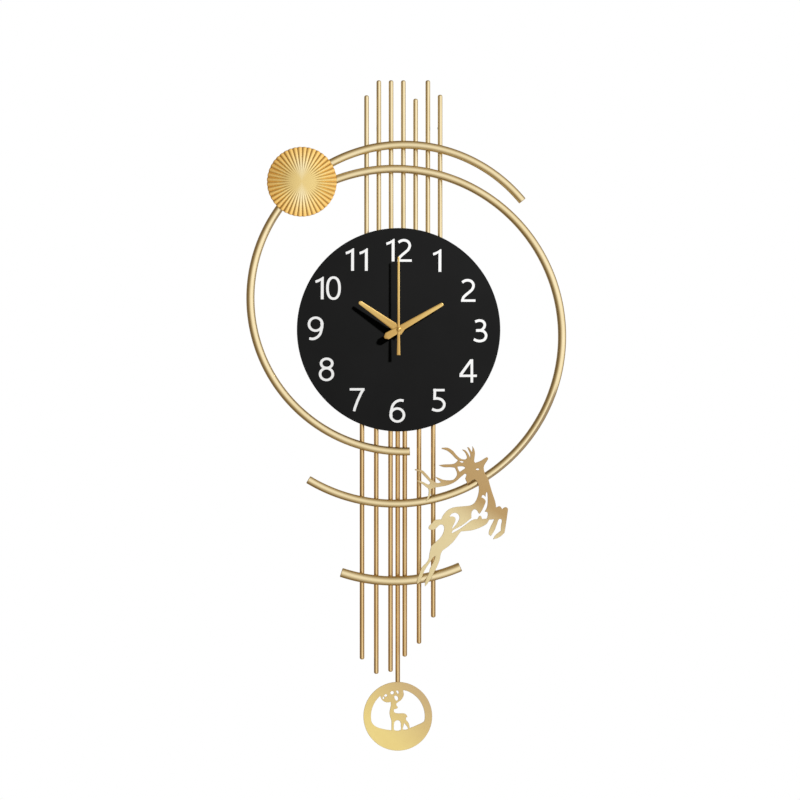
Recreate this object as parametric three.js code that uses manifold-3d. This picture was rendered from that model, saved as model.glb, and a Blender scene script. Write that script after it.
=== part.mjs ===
// Pendulum wall clock in a welded wire frame: a black dial on upright rods, bent tubes round it,
// a pleated medallion, a leaping deer cut from sheet, and a battery movement with a pendulum.
// Millimetres. +Z is up, the dial faces -Y and the wall is the plane y = 0.
// The origin is where the hanger rests on its nail.

import * as THREE from 'three';
import { mergeVertices } from 'three/addons/utils/BufferGeometryUtils.js';
import Module from 'manifold-3d';

const wasm = await Module();
wasm.setup();

// ---------------------------------------------------------------- driving dimensions

const NAIL_ABOVE_DIAL = 70;
const GAP = 0.3;

// Upright rods, measured from the dial centre
const ROD_RADIUS = 3.5;
const ROD_Y = -17;
const UPPER_ROD_PITCH = 18.13;
const UPPER_ROD_MIDDLE = 7;
const UPPER_ROD_TOPS = [347, 369.2, 369.2, 369.2, 342, 369.2, 347.8];
const UPPER_ROD_FOOT = 45;
const LOWER_ROD_PITCH = 21.06;
const LOWER_ROD_MIDDLE = -1.4;
const LOWER_ROD_FEET = [-487.3, -508.6, -505.6, -483.1, -464.1, -425.3];
const LOWER_ROD_TOP = -88;

// Bent tubes: ring centre, ring radius, and the angles of the two ends in degrees
const TUBE_Y = -26.8;
const TUBE_RADIUS = 6;
const LEFT_RING = { x: 7.6, z: 46.65, radius: 226.1, from: 39.3, to: 272.3 };
const RIGHT_RING = { x: -5.7, z: -9.6, radius: 246.8, from: -121.1, to: 122 };
const LOWER_ARC = { x: -7.5, z: -126, radius: 244.2, from: -108.4, to: -66.2 };
const LOWER_ARC_Y = -27.7;
const LOWER_ARC_TUBE_RADIUS = 6.9;

// Dial and the plate behind it
const DIAL_RADIUS = 150;
const DIAL_FRONT = -27.6;
const DIAL_BACK = -22.6;
const BACK_PLATE_RADIUS = 122;
const BACK_PLATE_FRONT = -22.3;
const BACK_PLATE_BACK = -20.8;

// Pleated medallion
const MEDALLION = { x: -142.1, z: 217.1, radius: 51.4, back: -36.3, front: -42.6 };
const MEDALLION_PLEATS = 44;
const MEDALLION_BOSS = 15;
const PLEAT_DEPTH = 1.8;

// Leaping deer
const DEER = { x: 26.1, z: -378, front: -38, back: -36 };
const NECK_STANDOFF = { x: 120.8, z: -221.6, radius: 3.2 };
const LEG_STANDOFF = { x: 46.3, z: -364.2, radius: 2.2 };

// Wall side
const HANGER_THICKNESS = 1.5;
const HANGER_BACK = -4.7;
const HANGER_HEIGHT = 26;
const NAIL_SLOT_RADIUS = 3;
const NAIL_HEAD_RADIUS = 5.5;
const PAD_PLACES = [[-47.3, 300], [60.9, 300], [-54.2, -380], [51.1, -380]];

// Movement case
const CASE_WIDTH = 56;
const CASE_TOP = 28;
const CASE_FOOT = -80;
const CASE_FRONT = -20.5;
const CASE_BACK = -4.5;
const CASE_SPLIT = -12.75;
const CASE_WALL = 1.2;

// Coaxial tubes on the dial axis: bushing outside, then hours, minutes and seconds
const BUSHING = { outer: 4.5, bore: 2.85, front: -34.5 };
const HOUR_TUBE = { outer: 2.5, bore: 1.85 };
const MINUTE_TUBE = { outer: 1.5, bore: 0.85 };
const WASHER_RADIUS = 6.9;
const NUT_CORNER = 6.6;

// Hands: front faces, thickness, and clockwise angle from twelve
const HOUR_HAND = { front: -37.6, thick: 1, length: 71, turn: 305 };
const MINUTE_HAND = { front: -38.9, thick: 1, length: 75.8, turn: 60 };
const SECOND_HAND = { front: -40.1, thick: 0.8, length: 107, turn: 0 };

// Pendulum
const PENDULUM_X = -1.3;
const PENDULUM_Y = -7.5;
const PIVOT_Z = -42;
const BOB = { x: -1.2, z: -572, radius: 50.9, front: -13.3, back: -11.3 };
const PENDULUM_ROD_TOP = -106.3;

// ---------------------------------------------------------------- geometry helpers

// Keeps positions only, drops flat triangles and turns the faces outward.
function closed(geometry) {
  const bare = geometry.clone();
  bare.deleteAttribute('normal');
  bare.deleteAttribute('uv');
  const merged = mergeVertices(bare, 1e-4);
  const index = merged.index.array;
  const p = merged.attributes.position.array;
  const faces = [];
  let volume = 0;
  for (let i = 0; i < index.length; i += 3) {
    const [a, b, c] = [index[i], index[i + 1], index[i + 2]];
    if (a === b || b === c || c === a) continue;
    faces.push(a, b, c);
    const va = new THREE.Vector3().fromArray(p, 3 * a);
    const vb = new THREE.Vector3().fromArray(p, 3 * b);
    const vc = new THREE.Vector3().fromArray(p, 3 * c);
    volume += va.dot(vb.cross(vc));
  }
  if (volume < 0) faces.reverse();
  merged.setIndex(faces);
  return merged;
}

function solid(geometry) {
  const merged = closed(geometry);
  return new wasm.Manifold(new wasm.Mesh({
    numProp: 3,
    vertProperties: new Float32Array(merged.attributes.position.array),
    triVerts: new Uint32Array(merged.index.array),
  }));
}

function geometryOf(manifold) {
  const mesh = manifold.getMesh();
  const geometry = new THREE.BufferGeometry();
  geometry.setAttribute('position', new THREE.BufferAttribute(mesh.vertProperties, 3));
  geometry.setIndex(new THREE.BufferAttribute(mesh.triVerts, 1));
  return geometry;
}

function join(...geometries) {
  return geometryOf(geometries.map(solid).reduce((whole, next) => whole.add(next)));
}

function cut(geometry, ...tools) {
  return geometryOf(tools.map(solid).reduce((whole, tool) => whole.subtract(tool), solid(geometry)));
}

// A shape drawn in x and z, made into a plate between two y planes.
function plate(shape, front, back, curveSegments = 12) {
  const geometry = new THREE.ExtrudeGeometry(shape, {
    depth: back - front, bevelEnabled: false, curveSegments,
  });
  geometry.rotateX(Math.PI / 2);
  return geometry.translate(0, back, 0);
}

// A profile of [radius, y] points turned about a line along y through (x, z).
function turned(profile, x, z, segments) {
  const points = profile.map(([radius, y]) => new THREE.Vector2(radius, y));
  return new THREE.LatheGeometry(points, segments).translate(x, 0, z);
}

function disc(radius, front, back, x = 0, z = 0, segments = 24) {
  return turned([[0, front], [radius, front], [radius, back], [0, back]], x, z, segments);
}

function ring(outer, bore, front, back, x = 0, z = 0, segments = 24) {
  const profile = [[bore, front], [outer, front], [outer, back], [bore, back], [bore, front]];
  return turned(profile, x, z, segments);
}

// An upright round bar with domed ends.
function uprightBar(radius, foot, top, x, y, segments = 12) {
  const dome = radius * 0.8;
  const points = [
    [0, foot], [radius * 0.6, foot + dome * 0.2], [radius, foot + dome],
    [radius, top - dome], [radius * 0.6, top - dome * 0.2], [0, top],
  ].map(([r, h]) => new THREE.Vector2(r, h));
  return new THREE.LatheGeometry(points, segments).rotateX(Math.PI / 2).translate(x, y, 0);
}

function box(xRange, yRange, zRange) {
  const middle = (range) => (range[0] + range[1]) / 2;
  const length = (range) => range[1] - range[0];
  return new THREE.BoxGeometry(length(xRange), length(yRange), length(zRange))
    .translate(middle(xRange), middle(yRange), middle(zRange));
}

// A circular arc in the plane of the dial.
class RingArc extends THREE.Curve {
  constructor(arc, y) {
    super();
    this.arc = arc;
    this.y = y;
  }

  getPoint(t, target = new THREE.Vector3()) {
    const angle = THREE.MathUtils.degToRad(THREE.MathUtils.lerp(this.arc.from, this.arc.to, t));
    return target.set(
      this.arc.x + this.arc.radius * Math.cos(angle),
      this.y,
      this.arc.z + this.arc.radius * Math.sin(angle),
    );
  }
}

function bentTube(arc, y, radius) {
  const section = new THREE.Shape().absarc(0, 0, radius, 0, 2 * Math.PI);
  return new THREE.ExtrudeGeometry(section, {
    steps: Math.round((arc.to - arc.from) / 5),
    curveSegments: 6,
    extrudePath: new RingArc(arc, y),
  });
}

// An outline of smooth stretches that meet at corners; a stretch of two points is straight.
function outline(stretches) {
  const shape = new THREE.Shape();
  shape.moveTo(...stretches[0][0]);
  for (const [, ...rest] of stretches) {
    if (rest.length === 1) shape.lineTo(...rest[0]);
    else shape.splineThru(rest.map(([x, z]) => new THREE.Vector2(x, z)));
  }
  return shape;
}

// A closed smooth loop through a few points.
function loop(points) {
  return outline([[...points, points[0]]]);
}

// ---------------------------------------------------------------- the group and its materials

const clock = new THREE.Group();
const aboutDial = new THREE.Group();
aboutDial.position.z = -NAIL_ABOVE_DIAL;
clock.add(aboutDial);

const FINISHES = {
  satin_gold: [0xd8b878, 0.34, 0.9],
  matte_gold: [0xcdb07a, 0.5, 0.7],
  bright_gold: [0xf0b860, 0.25, 1],
  black: [0x222224, 0.75, 0],
  grey_plastic: [0x33353a, 0.55, 0],
  white_plastic: [0xe8e6df, 0.5, 0],
  steel: [0x9a9ca0, 0.4, 1],
  brass: [0xc8a050, 0.35, 1],
  copper: [0xb0643a, 0.4, 0.9],
  rubber: [0x1c1c1c, 0.9, 0],
  board_green: [0x1d5a34, 0.6, 0],
  battery_wrap: [0x3a5f8a, 0.45, 0.3],
};

function add(name, geometry, finish) {
  const [color, roughness, metalness] = FINISHES[finish];
  const material = new THREE.MeshStandardMaterial({ color, roughness, metalness });
  const mesh = new THREE.Mesh(closed(geometry), material);
  mesh.name = name;
  aboutDial.add(mesh);
}

// ---------------------------------------------------------------- frame

function addRods() {
  UPPER_ROD_TOPS.forEach((top, i) => {
    const x = UPPER_ROD_MIDDLE + UPPER_ROD_PITCH * (i - 3);
    add(`upper_rod_${i + 1}`, uprightBar(ROD_RADIUS, UPPER_ROD_FOOT, top, x, ROD_Y), 'satin_gold');
  });
  LOWER_ROD_FEET.forEach((foot, i) => {
    const x = LOWER_ROD_MIDDLE + LOWER_ROD_PITCH * (i - 2.5);
    add(`lower_rod_${i + 1}`, uprightBar(ROD_RADIUS, foot, LOWER_ROD_TOP, x, ROD_Y), 'satin_gold');
  });
}

function addTubes() {
  add('ring_tube_left', bentTube(LEFT_RING, TUBE_Y, TUBE_RADIUS), 'satin_gold');
  add('ring_tube_right', bentTube(RIGHT_RING, TUBE_Y, TUBE_RADIUS), 'satin_gold');
  add('arc_tube_lower', bentTube(LOWER_ARC, LOWER_ARC_Y, LOWER_ARC_TUBE_RADIUS), 'satin_gold');
}

// The dish is turned with two steps to a pleat, then every second spoke is set back into a valley.
function addMedallion() {
  const { x, z, radius, back, front } = MEDALLION;
  const rim = back - 1.2 - PLEAT_DEPTH;
  const profile = [
    [0, front], [MEDALLION_BOSS, front], [radius * 0.62, (front + rim) / 2],
    [radius, rim], [radius, back], [0, back],
  ];
  const dish = turned(profile, x, z, 2 * MEDALLION_PLEATS);
  const place = dish.attributes.position;
  for (let i = 0; i < place.count; i += 1) {
    const [dx, dz] = [place.getX(i) - x, place.getZ(i) - z];
    const reach = Math.hypot(dx, dz);
    if (place.getY(i) > back - 0.1 || reach < MEDALLION_BOSS + 0.1) continue;
    const spoke = Math.round(Math.atan2(dz, dx) / (Math.PI / MEDALLION_PLEATS));
    if (spoke % 2 === 0) continue;
    const depth = PLEAT_DEPTH * (reach - MEDALLION_BOSS) / (radius - MEDALLION_BOSS);
    place.setY(i, place.getY(i) + depth);
  }
  add('medallion', dish, 'bright_gold');
  const tubeFront = TUBE_Y - TUBE_RADIUS;
  add('medallion_stud', disc(4, back + GAP, tubeFront - GAP, x, z, 16), 'brass');
}

const DEER_OUTLINE = [
  [[103.6, 190.6], [105.7, 188.7], [103.6, 184.3], [100.2, 179], [99.1, 174.3], [100.7, 167.3],
    [105.6, 158.5], [108.2, 149.6], [111.7, 137.8], [115.9, 125.3], [117.3, 116.5]],
  [[117.3, 116.5], [119.7, 117.6], [122.1, 118.4], [124.3, 117.1], [126.2, 113.8]],
  [[126.2, 113.8], [128.3, 115.9], [131.5, 116.9], [134.6, 114.7], [134, 107.6], [132.2, 95.1],
    [130.9, 86.2], [129.6, 79.3]],
  [[129.6, 79.3], [124.6, 74.6], [118.7, 71.1], [112.6, 69.7]],
  [[112.6, 69.7], [115.9, 75.5], [120.3, 79.3], [124.1, 82.3]],
  [[124.1, 82.3], [124.4, 89.9], [125.7, 97.6], [123.2, 99.7], [120.6, 97.9], [118.5, 92],
    [115.6, 84.3], [112.3, 78.4], [109.7, 74.3]],
  [[109.7, 74.3], [106.4, 77.2], [107, 82.6], [110, 89.9], [112.9, 95.8], [114.4, 98.9]],
  [[114.4, 98.9], [107, 98.5]],
  [[107, 98.5], [103.5, 92.6], [97, 88.5], [89.9, 85.4], [81.8, 82.9], [73, 81.8], [65.6, 81.2]],
  [[65.6, 81.2], [61, 75.2], [54.5, 66.3], [46.6, 59], [38.2, 52.8]],
  [[38.2, 52.8], [35.7, 47.2], [34.5, 39.8], [31.5, 31.8], [27.4, 23.3], [21.5, 12.4],
    [17.1, 5.6], [12.8, 0.3]],
  [[12.8, 0.3], [12.7, 5.9], [15, 12.7], [18.3, 19.8], [19.8, 26.2], [23, 32.7], [26.4, 39.2],
    [28, 45.1]],
  [[28, 45.1], [24.2, 42.2], [20.6, 36.6], [16.2, 30.4], [11.8, 23], [8.3, 13.9], [5, 7.1],
    [1.2, 3.5]],
  [[1.2, 3.5], [1.2, 9.4], [4.3, 18.6], [8.3, 28.6], [13.9, 34.5], [18, 41], [19.5, 50.1],
    [21.8, 59.6]],
  [[21.8, 59.6], [27.4, 64.9], [34.2, 70.8], [38.9, 77.8], [40.8, 85.5], [39.2, 90.5],
    [35.1, 91.1], [31, 87.9], [27.1, 84.3], [22.1, 83.4]],
  [[22.1, 83.4], [18.3, 84.6], [18.4, 88.7], [22.7, 93.2], [27.4, 97.9], [36.6, 99.1]],
  [[36.6, 99.1], [38.9, 104.4], [43.6, 110.3], [50.1, 115], [59, 117.3], [69.3, 118.2],
    [79.6, 119.6], [85.8, 123.8], [89.6, 131.2], [91.7, 140.6], [91.4, 148.9], [89, 154.2],
    [85.8, 157.7]],
  [[85.8, 157.7], [82.3, 156.3], [78.7, 153.3], [75, 150.4]],
  [[75, 150.4], [73.7, 154.5], [71.9, 158.6], [73.1, 162.2]],
  [[73.1, 162.2], [73.4, 165.3], [71.2, 166]],
  [[71.2, 166], [65.2, 161], [59.3, 155.7], [52.3, 151.5], [44.2, 148.6], [33.9, 146.7],
    [25.9, 145.2], [20.9, 143]],
  [[20.9, 143], [21.4, 138], [19.1, 131], [15.4, 125.4]],
  [[15.4, 125.4], [14, 126.1]],
  [[14, 126.1], [17.1, 133.6], [18, 139.5], [17.6, 144]],
  [[17.6, 144], [13.2, 147.4], [9, 150.7], [1.2, 154.8]],
  [[1.2, 154.8], [1.7, 156.4]],
  [[1.7, 156.4], [9.9, 153.9], [16.8, 150.5], [19.2, 150.6], [20, 153], [17.4, 156.6]],
  [[17.4, 156.6], [12, 162.2], [6.6, 167.7], [-2.2, 171.3]],
  [[-2.2, 171.3], [-1.9, 172.9]],
  [[-1.9, 172.9], [8.3, 171.2], [15.5, 164.8], [21.4, 158.1], [24.2, 155.7]],
  [[24.2, 155.7], [27.7, 153.6], [31.8, 152.3], [36.3, 153.6]],
  [[36.3, 153.6], [31.8, 157.1], [27.4, 161.9]],
  [[27.4, 161.9], [32.4, 160.1], [39.2, 157.3], [46.4, 156.4], [53.7, 157.1], [57.8, 160.7],
    [59.7, 165.1], [58.7, 170.1], [56.3, 174.8]],
  [[56.3, 174.8], [49.4, 175.6], [40.5, 175.6], [32.7, 178.5]],
  [[32.7, 178.5], [40.5, 179.7], [49.4, 180], [56.3, 181.3], [61, 185.7]],
  [[61, 185.7], [56.5, 189.6], [51.1, 195.3], [44.8, 200], [37.2, 202.6]],
  [[37.2, 202.6], [37.2, 204.1]],
  [[37.2, 204.1], [46.2, 204.2], [53.8, 199.6], [59.5, 193], [65.3, 188.2], [71.6, 186.9]],
  [[71.6, 186.9], [74.3, 189.3], [72.8, 194.7], [70.5, 198.3], [66.8, 201.4]],
  [[66.8, 201.4], [71.4, 200.9], [76.1, 195.8], [79.3, 189.3]],
  [[79.3, 189.3], [78.9, 195.2], [77, 199.9], [74.6, 205.1]],
  [[74.6, 205.1], [77.5, 204.5], [80.2, 200.3], [81.7, 197.8]],
  [[81.7, 197.8], [82.4, 202.6], [82, 206.7]],
  [[82, 206.7], [84.9, 202.6], [86.2, 196.2], [85.5, 189.6], [85.1, 184], [87, 182.2]],
  [[87, 182.2], [93.6, 184.6], [99.4, 188.1], [103.6, 190.6]],
];
const ANTLER_OPENING = [[60.4, 176.3], [65.6, 176.9], [70.8, 176], [71.1, 173.7], [66.9, 171],
  [64, 169.1], [61.9, 171.9]];
const ANTLER_SLIT = [[63.4, 184.4], [66.9, 184.6], [69.6, 183.4], [66.9, 182.2]];
const EYE = [[87, 172.6], [89.9, 173.8], [92.7, 172.6], [89.9, 171.3]];
const HAUNCH_CRESCENT = [[48.6, 102.9], [52.2, 107.3], [57.8, 108.5], [62.2, 105.3], [63.1, 100.2],
  [60.1, 93.8], [56.3, 88.7], [52.2, 84.9], [54.8, 91.1], [57.3, 96.4], [57.2, 101.1], [54, 103.2]];
const CHEST_OPENING = [
  [[95.8, 131.2], [97, 134.3], [99.4, 134.4], [101.6, 131.8]],
  [[101.6, 131.8], [102.6, 138], [104.1, 138.3], [104.8, 129.4], [104.4, 120.3], [102.6, 114.1],
    [100.2, 110.6]],
  [[100.2, 110.6], [104.4, 109.1], [104.8, 104.7], [103.5, 100.2]],
  [[103.5, 100.2], [96.7, 99.4]],
  [[96.7, 99.4], [95.7, 102.6], [93.8, 104.4], [91.7, 102.9], [89.9, 99.4]],
  [[89.9, 99.4], [83.4, 98.5], [77, 94.6], [69.3, 88.7], [61.3, 83.4], [52.2, 78.4]],
  [[52.2, 78.4], [53.7, 82.7], [61.3, 86.7], [68.7, 91.1], [75.8, 96.7], [81.1, 101.1]],
  [[81.1, 101.1], [81.1, 108.5], [83.1, 112.3], [86.1, 113.7], [89.3, 111.7], [91.1, 108.5],
    [92.9, 107]],
  [[92.9, 107], [96.1, 111.4], [99.7, 118.8], [101.9, 125.6], [99.4, 129.4], [95.8, 131.2]],
];

function addDeer() {
  const { front, back } = DEER;
  const openings = [ANTLER_OPENING, ANTLER_SLIT, EYE, HAUNCH_CRESCENT].map(loop);
  openings.push(outline(CHEST_OPENING));
  const tools = openings.map((shape) => plate(shape, front - 1, back + 1, 2));
  const sheet = cut(plate(outline(DEER_OUTLINE), front, back, 2), ...tools);
  add('deer_plate', sheet.translate(DEER.x, 0, DEER.z), 'matte_gold');
  const standoffs = [
    ['deer_standoff_neck', NECK_STANDOFF, TUBE_Y - TUBE_RADIUS],
    ['deer_standoff_leg', LEG_STANDOFF, LOWER_ARC_Y - LOWER_ARC_TUBE_RADIUS],
  ];
  for (const [name, place, tubeFront] of standoffs) {
    const post = disc(place.radius, DEER.back + GAP, tubeFront - GAP, place.x, place.z, 16);
    add(name, post, 'satin_gold');
  }
}

function addBackPlate() {
  const hole = BUSHING.outer + 0.5;
  add('back_plate', ring(BACK_PLATE_RADIUS, hole, BACK_PLATE_FRONT, BACK_PLATE_BACK, 0, 0, 48), 'steel');
}

// A hat-shaped bracket across the backs of the rods: two flanges on the rods and a web that
// stands towards the wall, with room for the nail head between the web and the rods.
function addHanger() {
  const flangeFront = ROD_Y + ROD_RADIUS + GAP;
  const webFront = HANGER_BACK - HANGER_THICKNESS;
  const flangeBack = flangeFront + HANGER_THICKNESS;
  const web = 14;
  const flange = 34;
  const step = 3;
  const profile = new THREE.Shape([
    [-flange, flangeFront], [-web - step, flangeFront], [-web, webFront], [web, webFront],
    [web + step, flangeFront], [flange, flangeFront], [flange, flangeBack],
    [web + step + 1, flangeBack], [web + 1, HANGER_BACK], [-web - 1, HANGER_BACK],
    [-web - step - 1, flangeBack], [-flange, flangeBack],
  ].map(([x, y]) => new THREE.Vector2(x, y)));
  const foot = NAIL_ABOVE_DIAL - 16;
  const hat = new THREE.ExtrudeGeometry(profile, { depth: HANGER_HEIGHT, bevelEnabled: false });
  hat.translate(0, 0, foot);
  const slotTop = NAIL_ABOVE_DIAL;
  const keyhole = new THREE.Shape();
  keyhole.moveTo(NAIL_SLOT_RADIUS, slotTop);
  keyhole.absarc(0, slotTop, NAIL_SLOT_RADIUS, 0, Math.PI);
  keyhole.lineTo(-NAIL_SLOT_RADIUS, slotTop - 5);
  keyhole.absarc(0, slotTop - 9, NAIL_HEAD_RADIUS, Math.PI * 0.68, Math.PI * 2.32);
  keyhole.lineTo(NAIL_SLOT_RADIUS, slotTop);
  add('wall_hanger', cut(hat, plate(keyhole, webFront - 2, HANGER_BACK + 2, 8)), 'steel');
}

function addWallPads() {
  const rodBack = ROD_Y + ROD_RADIUS + GAP;
  PAD_PLACES.forEach(([x, z], i) => {
    const profile = [[0, rodBack], [2.6, rodBack], [2.6, -5], [3.3, -3.5], [3.3, -0.6], [2.8, 0], [0, 0]];
    add(`wall_pad_${i + 1}`, turned(profile, x, z, 12), 'rubber');
  });
}

function addDial() {
  const hole = BUSHING.outer + 0.5;
  const edge = 0.6;
  const profile = [
    [hole, DIAL_FRONT], [DIAL_RADIUS - edge, DIAL_FRONT], [DIAL_RADIUS, DIAL_FRONT + edge],
    [DIAL_RADIUS, DIAL_BACK], [hole, DIAL_BACK], [hole, DIAL_FRONT],
  ];
  add('dial', turned(profile, 0, 0, 72), 'black');
}

// ---------------------------------------------------------------- hands

// A hand drawn pointing up from the axis, then turned clockwise as seen from the front.
function addHand(name, hand, blade, hubRadius, bore) {
  const { front, thick, turn } = hand;
  const back = front + thick;
  const whole = join(plate(blade, front, back, 6), disc(hubRadius, front, back));
  const pierced = cut(whole, disc(bore, front - 1, back + 1));
  add(name, pierced.rotateY(THREE.MathUtils.degToRad(turn)), 'satin_gold');
}

function taperedBlade(length, tail, rootWidth, tipWidth) {
  const tip = tipWidth / 2;
  const root = rootWidth / 2;
  const blade = new THREE.Shape();
  blade.moveTo(root, 0);
  blade.lineTo(tip, length - tip);
  blade.absarc(0, length - tip, tip, 0, Math.PI);
  blade.lineTo(-root, 0);
  tail.forEach(([halfWidth, z]) => blade.lineTo(-halfWidth, z));
  [...tail].reverse().forEach(([halfWidth, z]) => blade.lineTo(halfWidth, z));
  blade.closePath();
  return blade;
}

function addHands() {
  const hourTail = [[4.6, -7.4]];
  const hourBlade = taperedBlade(HOUR_HAND.length, hourTail, 11.4, 5.6);
  addHand('hour_hand', HOUR_HAND, hourBlade, 5.8, HOUR_TUBE.outer + GAP);
  const minuteTail = [[5.2, -19.4], [1.6, -24]];
  const minuteBlade = taperedBlade(MINUTE_HAND.length, minuteTail, 9.4, 5.2);
  addHand('minute_hand', MINUTE_HAND, minuteBlade, 5, MINUTE_TUBE.outer + GAP);
  const { front, thick, length } = SECOND_HAND;
  const needle = taperedBlade(length, [[2.5, -37.6]], 3.4, 3);
  const back = front + thick;
  const dome = [[0, front - 1.5], [1.4, front - 1.2], [2.4, front - 0.5], [2.8, front]];
  const cap = turned([...dome, [2.8, back], [0, back]], 0, 0, 20);
  const whole = join(plate(needle, front, back, 6), cap);
  add('second_hand', whole, 'satin_gold');
}

function addNutAndWasher() {
  const bore = BUSHING.outer + GAP;
  const washerFront = DIAL_FRONT - GAP - 0.8;
  add('dial_washer', ring(WASHER_RADIUS, bore, washerFront, DIAL_FRONT - GAP, 0, 0, 32), 'brass');
  const nutFront = washerFront - GAP - 2.2;
  const hexagon = new THREE.Shape();
  for (let corner = 0; corner < 6; corner += 1) {
    const angle = corner * Math.PI / 3;
    const point = [NUT_CORNER * Math.cos(angle), NUT_CORNER * Math.sin(angle)];
    if (corner === 0) hexagon.moveTo(...point);
    else hexagon.lineTo(...point);
  }
  hexagon.closePath();
  const nut = cut(plate(hexagon, nutFront, washerFront - GAP), disc(bore, -40, -20));
  add('dial_nut', nut, 'brass');
}

// ---------------------------------------------------------------- movement

// Places of the off-centre wheels in the movement, [x, z] from the dial axis
const FIFTH_WHEEL = [0, 8.75];
const ROTOR = [3.6, 14.985];
const THIRD_WHEEL = [-8.42, 4.86];
const MINUTE_WHEEL = [8.66, 5];
const CENTRE = [0, 0];
const ARBOR_RADIUS = 0.5;

function angleTo(from, to) {
  return Math.atan2(to[1] - from[1], to[0] - from[0]);
}

function distance(from, to) {
  return Math.hypot(to[0] - from[0], to[1] - from[1]);
}

// Two toothed outlines in mesh: at rest the driver has a tooth, and the other wheel a gap, on
// the line of centres. Teeth are pointed and shallow, so they clear each other all the way round.
function meshedPair(driverPlace, driverTeeth, drivenPlace, drivenTeeth) {
  const module = 2 * distance(driverPlace, drivenPlace) / (driverTeeth + drivenTeeth);
  const toothed = (teeth, firstTooth) => {
    const tip = module * (teeth / 2 + 0.35);
    const root = module * (teeth / 2 - 0.75);
    const shape = new THREE.Shape();
    for (let i = 0; i < 2 * teeth; i += 1) {
      const angle = firstTooth + i * Math.PI / teeth;
      const reach = i % 2 === 0 ? tip : root;
      const point = [reach * Math.cos(angle), reach * Math.sin(angle)];
      if (i === 0) shape.moveTo(...point);
      else shape.lineTo(...point);
    }
    shape.closePath();
    return shape;
  };
  const driverFirst = angleTo(driverPlace, drivenPlace);
  const drivenFirst = angleTo(drivenPlace, driverPlace) + Math.PI / drivenTeeth;
  return [toothed(driverTeeth, driverFirst), toothed(drivenTeeth, drivenFirst)];
}

function gearAt(shape, [x, z], front, back) {
  return plate(shape, front, back).translate(x, 0, z);
}

function arbor([x, z], front, back, radius = ARBOR_RADIUS) {
  return disc(radius, front, back, x, z, 10);
}

function addGearTrain() {
  const [rotorPinion, fifthToothed] = meshedPair(ROTOR, 12, FIFTH_WHEEL, 60);
  const [fifthPinion, secondsToothed] = meshedPair(FIFTH_WHEEL, 10, CENTRE, 60);
  const [secondsPinion, thirdToothed] = meshedPair(CENTRE, 8, THIRD_WHEEL, 60);
  const [thirdPinion, centreToothed] = meshedPair(THIRD_WHEEL, 8, CENTRE, 64);
  const [centrePinion, minuteToothed] = meshedPair(CENTRE, 10, MINUTE_WHEEL, 30);
  const [minutePinion, hourToothed] = meshedPair(MINUTE_WHEEL, 8, CENTRE, 32);

  const rotor = join(
    arbor(ROTOR, -12.4, -6.1),
    gearAt(rotorPinion, ROTOR, -11.9, -10.6),
    disc(3, -10.3, -8.3, ...ROTOR, 20),
    disc(1, -10.7, -10.2, ...ROTOR, 10),
  );
  add('rotor', rotor, 'steel');
  const fifth = join(
    gearAt(fifthToothed, FIFTH_WHEEL, -11.8, -10.8),
    gearAt(fifthPinion, FIFTH_WHEEL, -13.3, -11.7),
    arbor(FIFTH_WHEEL, -13.6, -10.5),
  );
  add('fifth_wheel', fifth, 'white_plastic');
  const seconds = join(
    gearAt(secondsToothed, CENTRE, -13.2, -12.2),
    gearAt(secondsPinion, CENTRE, -14.7, -13.1),
    arbor(CENTRE, SECOND_HAND.front + SECOND_HAND.thick + GAP, -11.9),
  );
  add('seconds_wheel', seconds, 'white_plastic');
  const third = join(
    gearAt(thirdToothed, THIRD_WHEEL, -14.6, -13.6),
    gearAt(thirdPinion, THIRD_WHEEL, -16.2, -14.5),
    arbor(THIRD_WHEEL, -16.4, -13.3),
  );
  add('third_wheel', third, 'white_plastic');

  const bored = (geometry, radius) => cut(geometry, arbor(CENTRE, -60, 0, radius));
  const centre = join(
    gearAt(centreToothed, CENTRE, -16.1, -15.1),
    gearAt(centrePinion, CENTRE, -17.6, -16),
    arbor(CENTRE, MINUTE_HAND.front, -16.2, MINUTE_TUBE.outer),
  );
  add('centre_wheel', bored(centre, MINUTE_TUBE.bore), 'brass');
  const minute = join(
    gearAt(minuteToothed, MINUTE_WHEEL, -17.5, -16.5),
    gearAt(minutePinion, MINUTE_WHEEL, -19, -17.4),
    arbor(MINUTE_WHEEL, -19.1, -2.9),
  );
  add('minute_wheel', minute, 'white_plastic');
  const knob = ring(3.4, ARBOR_RADIUS + GAP, -4.1, -2.6, ...MINUTE_WHEEL, 20);
  add('setting_knob', knob, 'grey_plastic');
  const hour = join(
    gearAt(hourToothed, CENTRE, -18.9, -17.9),
    arbor(CENTRE, HOUR_HAND.front, -18, HOUR_TUBE.outer),
  );
  add('hour_wheel', bored(hour, HOUR_TUBE.bore), 'brass');
}

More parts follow.
